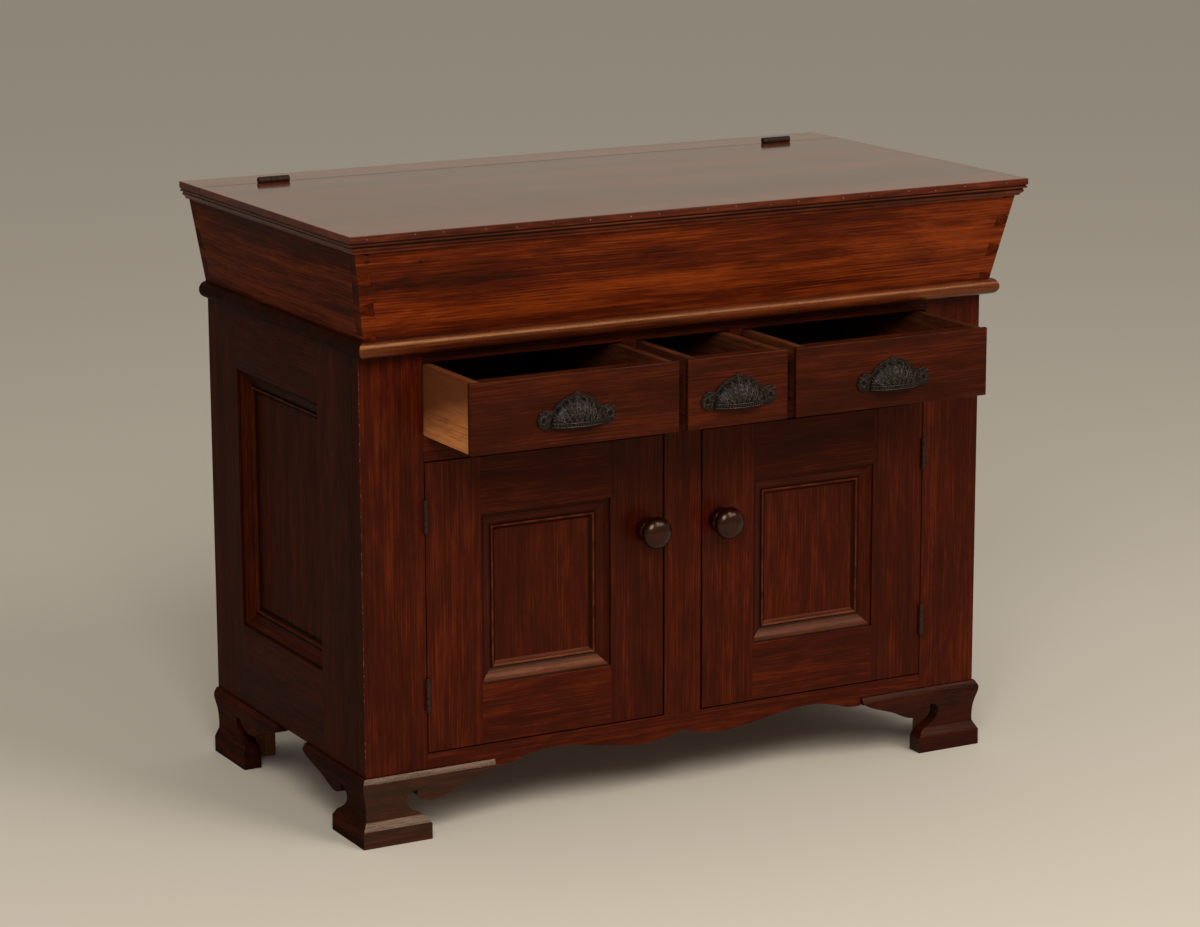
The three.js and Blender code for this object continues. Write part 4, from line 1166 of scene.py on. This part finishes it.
# Each leaf has its foot, its tip and how far its edges bow
leaves = ((0, (2, 46), 0.16), (7, (14, 38), 0.16), (15, (26, 31), 0.18), (24, (37, 20), 0.18))
ornaments = [[(x, 1.2) for x in range(-41, 42, 4)], [(x, 6.4) for x in range(-40, 41, 4)]]
for sign in (-1, 1):
    for foot, tip, bow in leaves:
        start = (sign * foot, 8)
        end = (sign * tip[0], tip[1])
        ornaments += [bowed(start, end, bow), bowed(start, end, -bow), bowed(start, end, 0.01)]
        for share in (0.25, 0.42, 0.59, 0.76):
            middle = Vector(start).lerp(Vector(end), share)
            rise = 4.6 * (1 - share * 0.6)
            for way in (-1, 1):
                ornaments.append(bowed(tuple(middle), (middle.x + way * rise, middle.y + rise), 0.1))
    ornaments.append([(sign * (EAR[0] + 5.2 * math.cos(a)), EAR[1] + 5.6 * math.sin(a))
                      for a in [math.tau * i / 12 for i in range(13)]])
    ornaments.append(bowed((sign * 45, 3), (sign * 59, 22), 0.25 * sign))
    ornaments.append(bowed((sign * 44, 20), (sign * 58, 5), 0.25 * sign))


print("ribs on a pull:", len(ornaments))


# %% Pulls with their ornament
def ribs(lines, radius):
    """Round ribs laid on the surface of the pull, as one mesh."""
    data = bpy.data.curves.new("ribs", "CURVE")
    data.dimensions = "3D"
    data.bevel_depth = radius
    data.bevel_resolution = 1
    data.use_fill_caps = True
    for line in lines:
        points = curve(line, 5) if len(line) < 9 else line
        spline = data.splines.new("POLY")
        spline.points.add(len(points) - 1)
        for point, (u, v) in zip(spline.points, points):
            point.co = (*on_pull(u, v + foot_z), 1)
    mesh = bpy.data.meshes.new_from_object(bpy.data.objects.new("ribs", data))
    bm = bmesh.new()
    bm.from_mesh(mesh)
    bmesh.ops.remove_doubles(bm, verts=bm.verts, dist=0.001)
    bm.to_mesh(mesh)
    bm.free()
    return mesh


def pebbles(bm):
    """Rows of beads, and a pebbled ground between the leaves."""
    scatter = random.Random("pebbles")
    for x in range(-38, 39, 4):
        bead = Matrix.Translation(on_pull(x, foot_z + 3.8))
        bmesh.ops.create_icosphere(bm, subdivisions=2, radius=1.2, matrix=bead)
    placed = 0
    while placed < PEBBLES:
        x, z = scatter.uniform(-61, 61), scatter.uniform(foot_z + 8, 24)
        if within(x, z, 1.6):
            bead = Matrix.Translation(on_pull(x, z))
            radius = scatter.uniform(0.8, 1.5)
            bmesh.ops.create_icosphere(bm, subdivisions=1, radius=radius, matrix=bead)
            placed += 1


rib_mesh = ribs(ornaments, 0.7)
for which in ("left", "centre", "right"):
    low, high = extent(f"drawer_{which}_pull")
    bm = casting()
    before = len(bm.faces)
    bm.from_mesh(rib_mesh)
    pebbles(bm)
    bm.faces.ensure_lookup_table()
    # The ornament takes the rubbed colour: worn metal, and a painted highlight on ribs and beads
    mark_faces(bm, "wear", bm.faces[before:])
    for sign in (-1, 1):
        screw = Matrix.Translation((sign * EAR[0], -PULL_FACE - 0.6, foot_z + EAR[1])) @ FACING_FRONT
        add_disc(bm, 16, 3, 1.4, screw, tip=2.4)
    place = Matrix.Translation(((low.x + high.x) / 2, high.y, (low.z + high.z) / 2))
    body = f"drawer_{which}"
    piece(carried(bm, place), f"{body}_cast_pull", body, [f"{body}_pull"], "pull_iron")

# %% [markdown]
# ## Bracket feet
# Each front foot is two brackets mitred at the corner. A bracket is sawn to a scrolled outline
# and its face is planed to a moulded swell. The outline is extruded, then cut into level strips
# and each strip of the face is pushed out by the swell at its height, which is what a moulding
# plane does before the outline is sawn.

# %% Outline and swell
FRONT_REACH, BACK_REACH = 205, 235
SWELL, THICK = 8, 20
pad_strokes = [(0.459, 0.33), (0.375, 0.42), (0.32, 0.52), (0.31, 0.63), (0.34, 0.72), (0.388, 0.743)]
lobe_strokes = [(0.396, 0.65), (0.434, 0.59), (0.49, 0.553), (0.56, 0.558), (0.64, 0.612), (0.717, 0.689),
                (0.815, 0.757), (0.917, 0.825), (0.99, 0.898)]
# The swell at each height, both as shares. The pad's sloping top is straight and steep.
swell_points = [Vector(p) for p in ((0, 1), (0.222, 1), (0.236, 0.98), (0.25, 0.89), (0.352, 0.16),
                                    (0.365, 0.08))]
swell_points += curve([(0.365, 0.08), (0.38, 0.06), (0.447, 0.04), (0.544, 0.1), (0.62, 0.21), (0.7, 0.41),
                       (0.777, 0.68), (0.845, 0.9), (0.893, 0.97)], 2)[1:]
swell_points += [Vector(p) for p in ((0.915, 0.95), (0.93, 0.88), (1, 0.36))]
print("heights in the swell:", len(swell_points))


# %% Brackets and glue blocks
def bracket(corner, along, outward, reach, mitred):
    """One bracket that runs from a corner of the case, its face swelling outward."""
    start = -12 if mitred else 0
    outline = [(start, 0), (0.493 * reach, 0), (0.493 * reach, 0.225 * FOOT)]
    outline += [(s * reach, up * FOOT) for s, up in curve(pad_strokes, 3) + curve(lobe_strokes, 3)]
    outline += [(reach, 0.898 * FOOT), (reach, FOOT), (start, FOOT)]
    bm = slab([(s, 0, z) for s, z in outline], -Y * THICK)
    heights = [up * FOOT for up, _ in swell_points]
    swells = [out * SWELL for _, out in swell_points]
    for height in heights[1:-1]:
        cut(bm, Z * height, Z, 0.01, clear=False)
    for vert in bm.verts:
        if vert.co.y > -0.01:
            vert.co.y += float(np.interp(vert.co.z, heights, swells))
    if mitred:
        saw(bm, (0, 0, 0), (-1, -1, 0))
    turn = Matrix((along, outward, Z)).transposed().to_4x4()
    return carried(bm, Matrix.Translation(corner) @ turn)


def glue_block(name, corner, inward, forward):
    """The square block behind the brackets of a foot."""
    near = corner + (inward + forward) * THICK
    far = near + (inward + forward) * 46 + Z * 110
    piece(soften(block(near, far), 1), f"{name}_block", "case", [name], "plain_wood", "z")


rear_points = curve([(0.5, 0), (0.5, 0.3), (0.62, 0.55), (0.8, 0.68), (1, 0.72)], 3)[1:]
rear_outline = [(THICK, 0), (74, 0), *[(s * 150, up * FOOT) for s, up in rear_points],
                (150, FOOT), (THICK, FOOT)]
# Side brackets take a darker copy as painted shade, and the right front foot a duller one
for side, sign in SIDES:
    inward = -X * sign
    corner = Vector((sign * HALF_WIDTH, FRONT, 0))
    name = f"foot_front_{side}"
    look = "foot_wood" if sign < 0 else "dull_foot_wood"
    bm = bracket(corner, inward, -Y, FRONT_REACH, True)
    piece(bm, f"{name}_front", "case", [name], "case_wood", "x", look)
    bm = bracket(corner, Y, -inward, FRONT_REACH, True)
    piece(bm, f"{name}_side", "case", [name], "case_wood", "y", "foot_side_wood")
    glue_block(name, corner, inward, Y)

    corner = Vector((sign * HALF_WIDTH, BACK, 0))
    name = f"foot_back_{side}"
    bm = bracket(corner, -Y, -inward, BACK_REACH, False)
    piece(bm, f"{name}_side", "case", [name], "case_wood", "y", "foot_side_wood")
    bm = slab([corner + inward * s + Z * z for s, z in rear_outline], -Y * THICK)
    piece(soften(bm, 0.7, shortest=3), f"{name}_rear", "case", [name], "plain_wood", "x")
    glue_block(name, corner, inward, -Y)
brackets = [obj for obj in bpy.data.objects if obj.get("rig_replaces")
            and obj.name.startswith("foot_") and not obj.name.endswith("_block")]
print("brackets:", len(brackets))

# %% [markdown]
# ## Last checks
# Pieces that aren't closed are named.

# %% Open pieces
print("open pieces:", open_pieces)
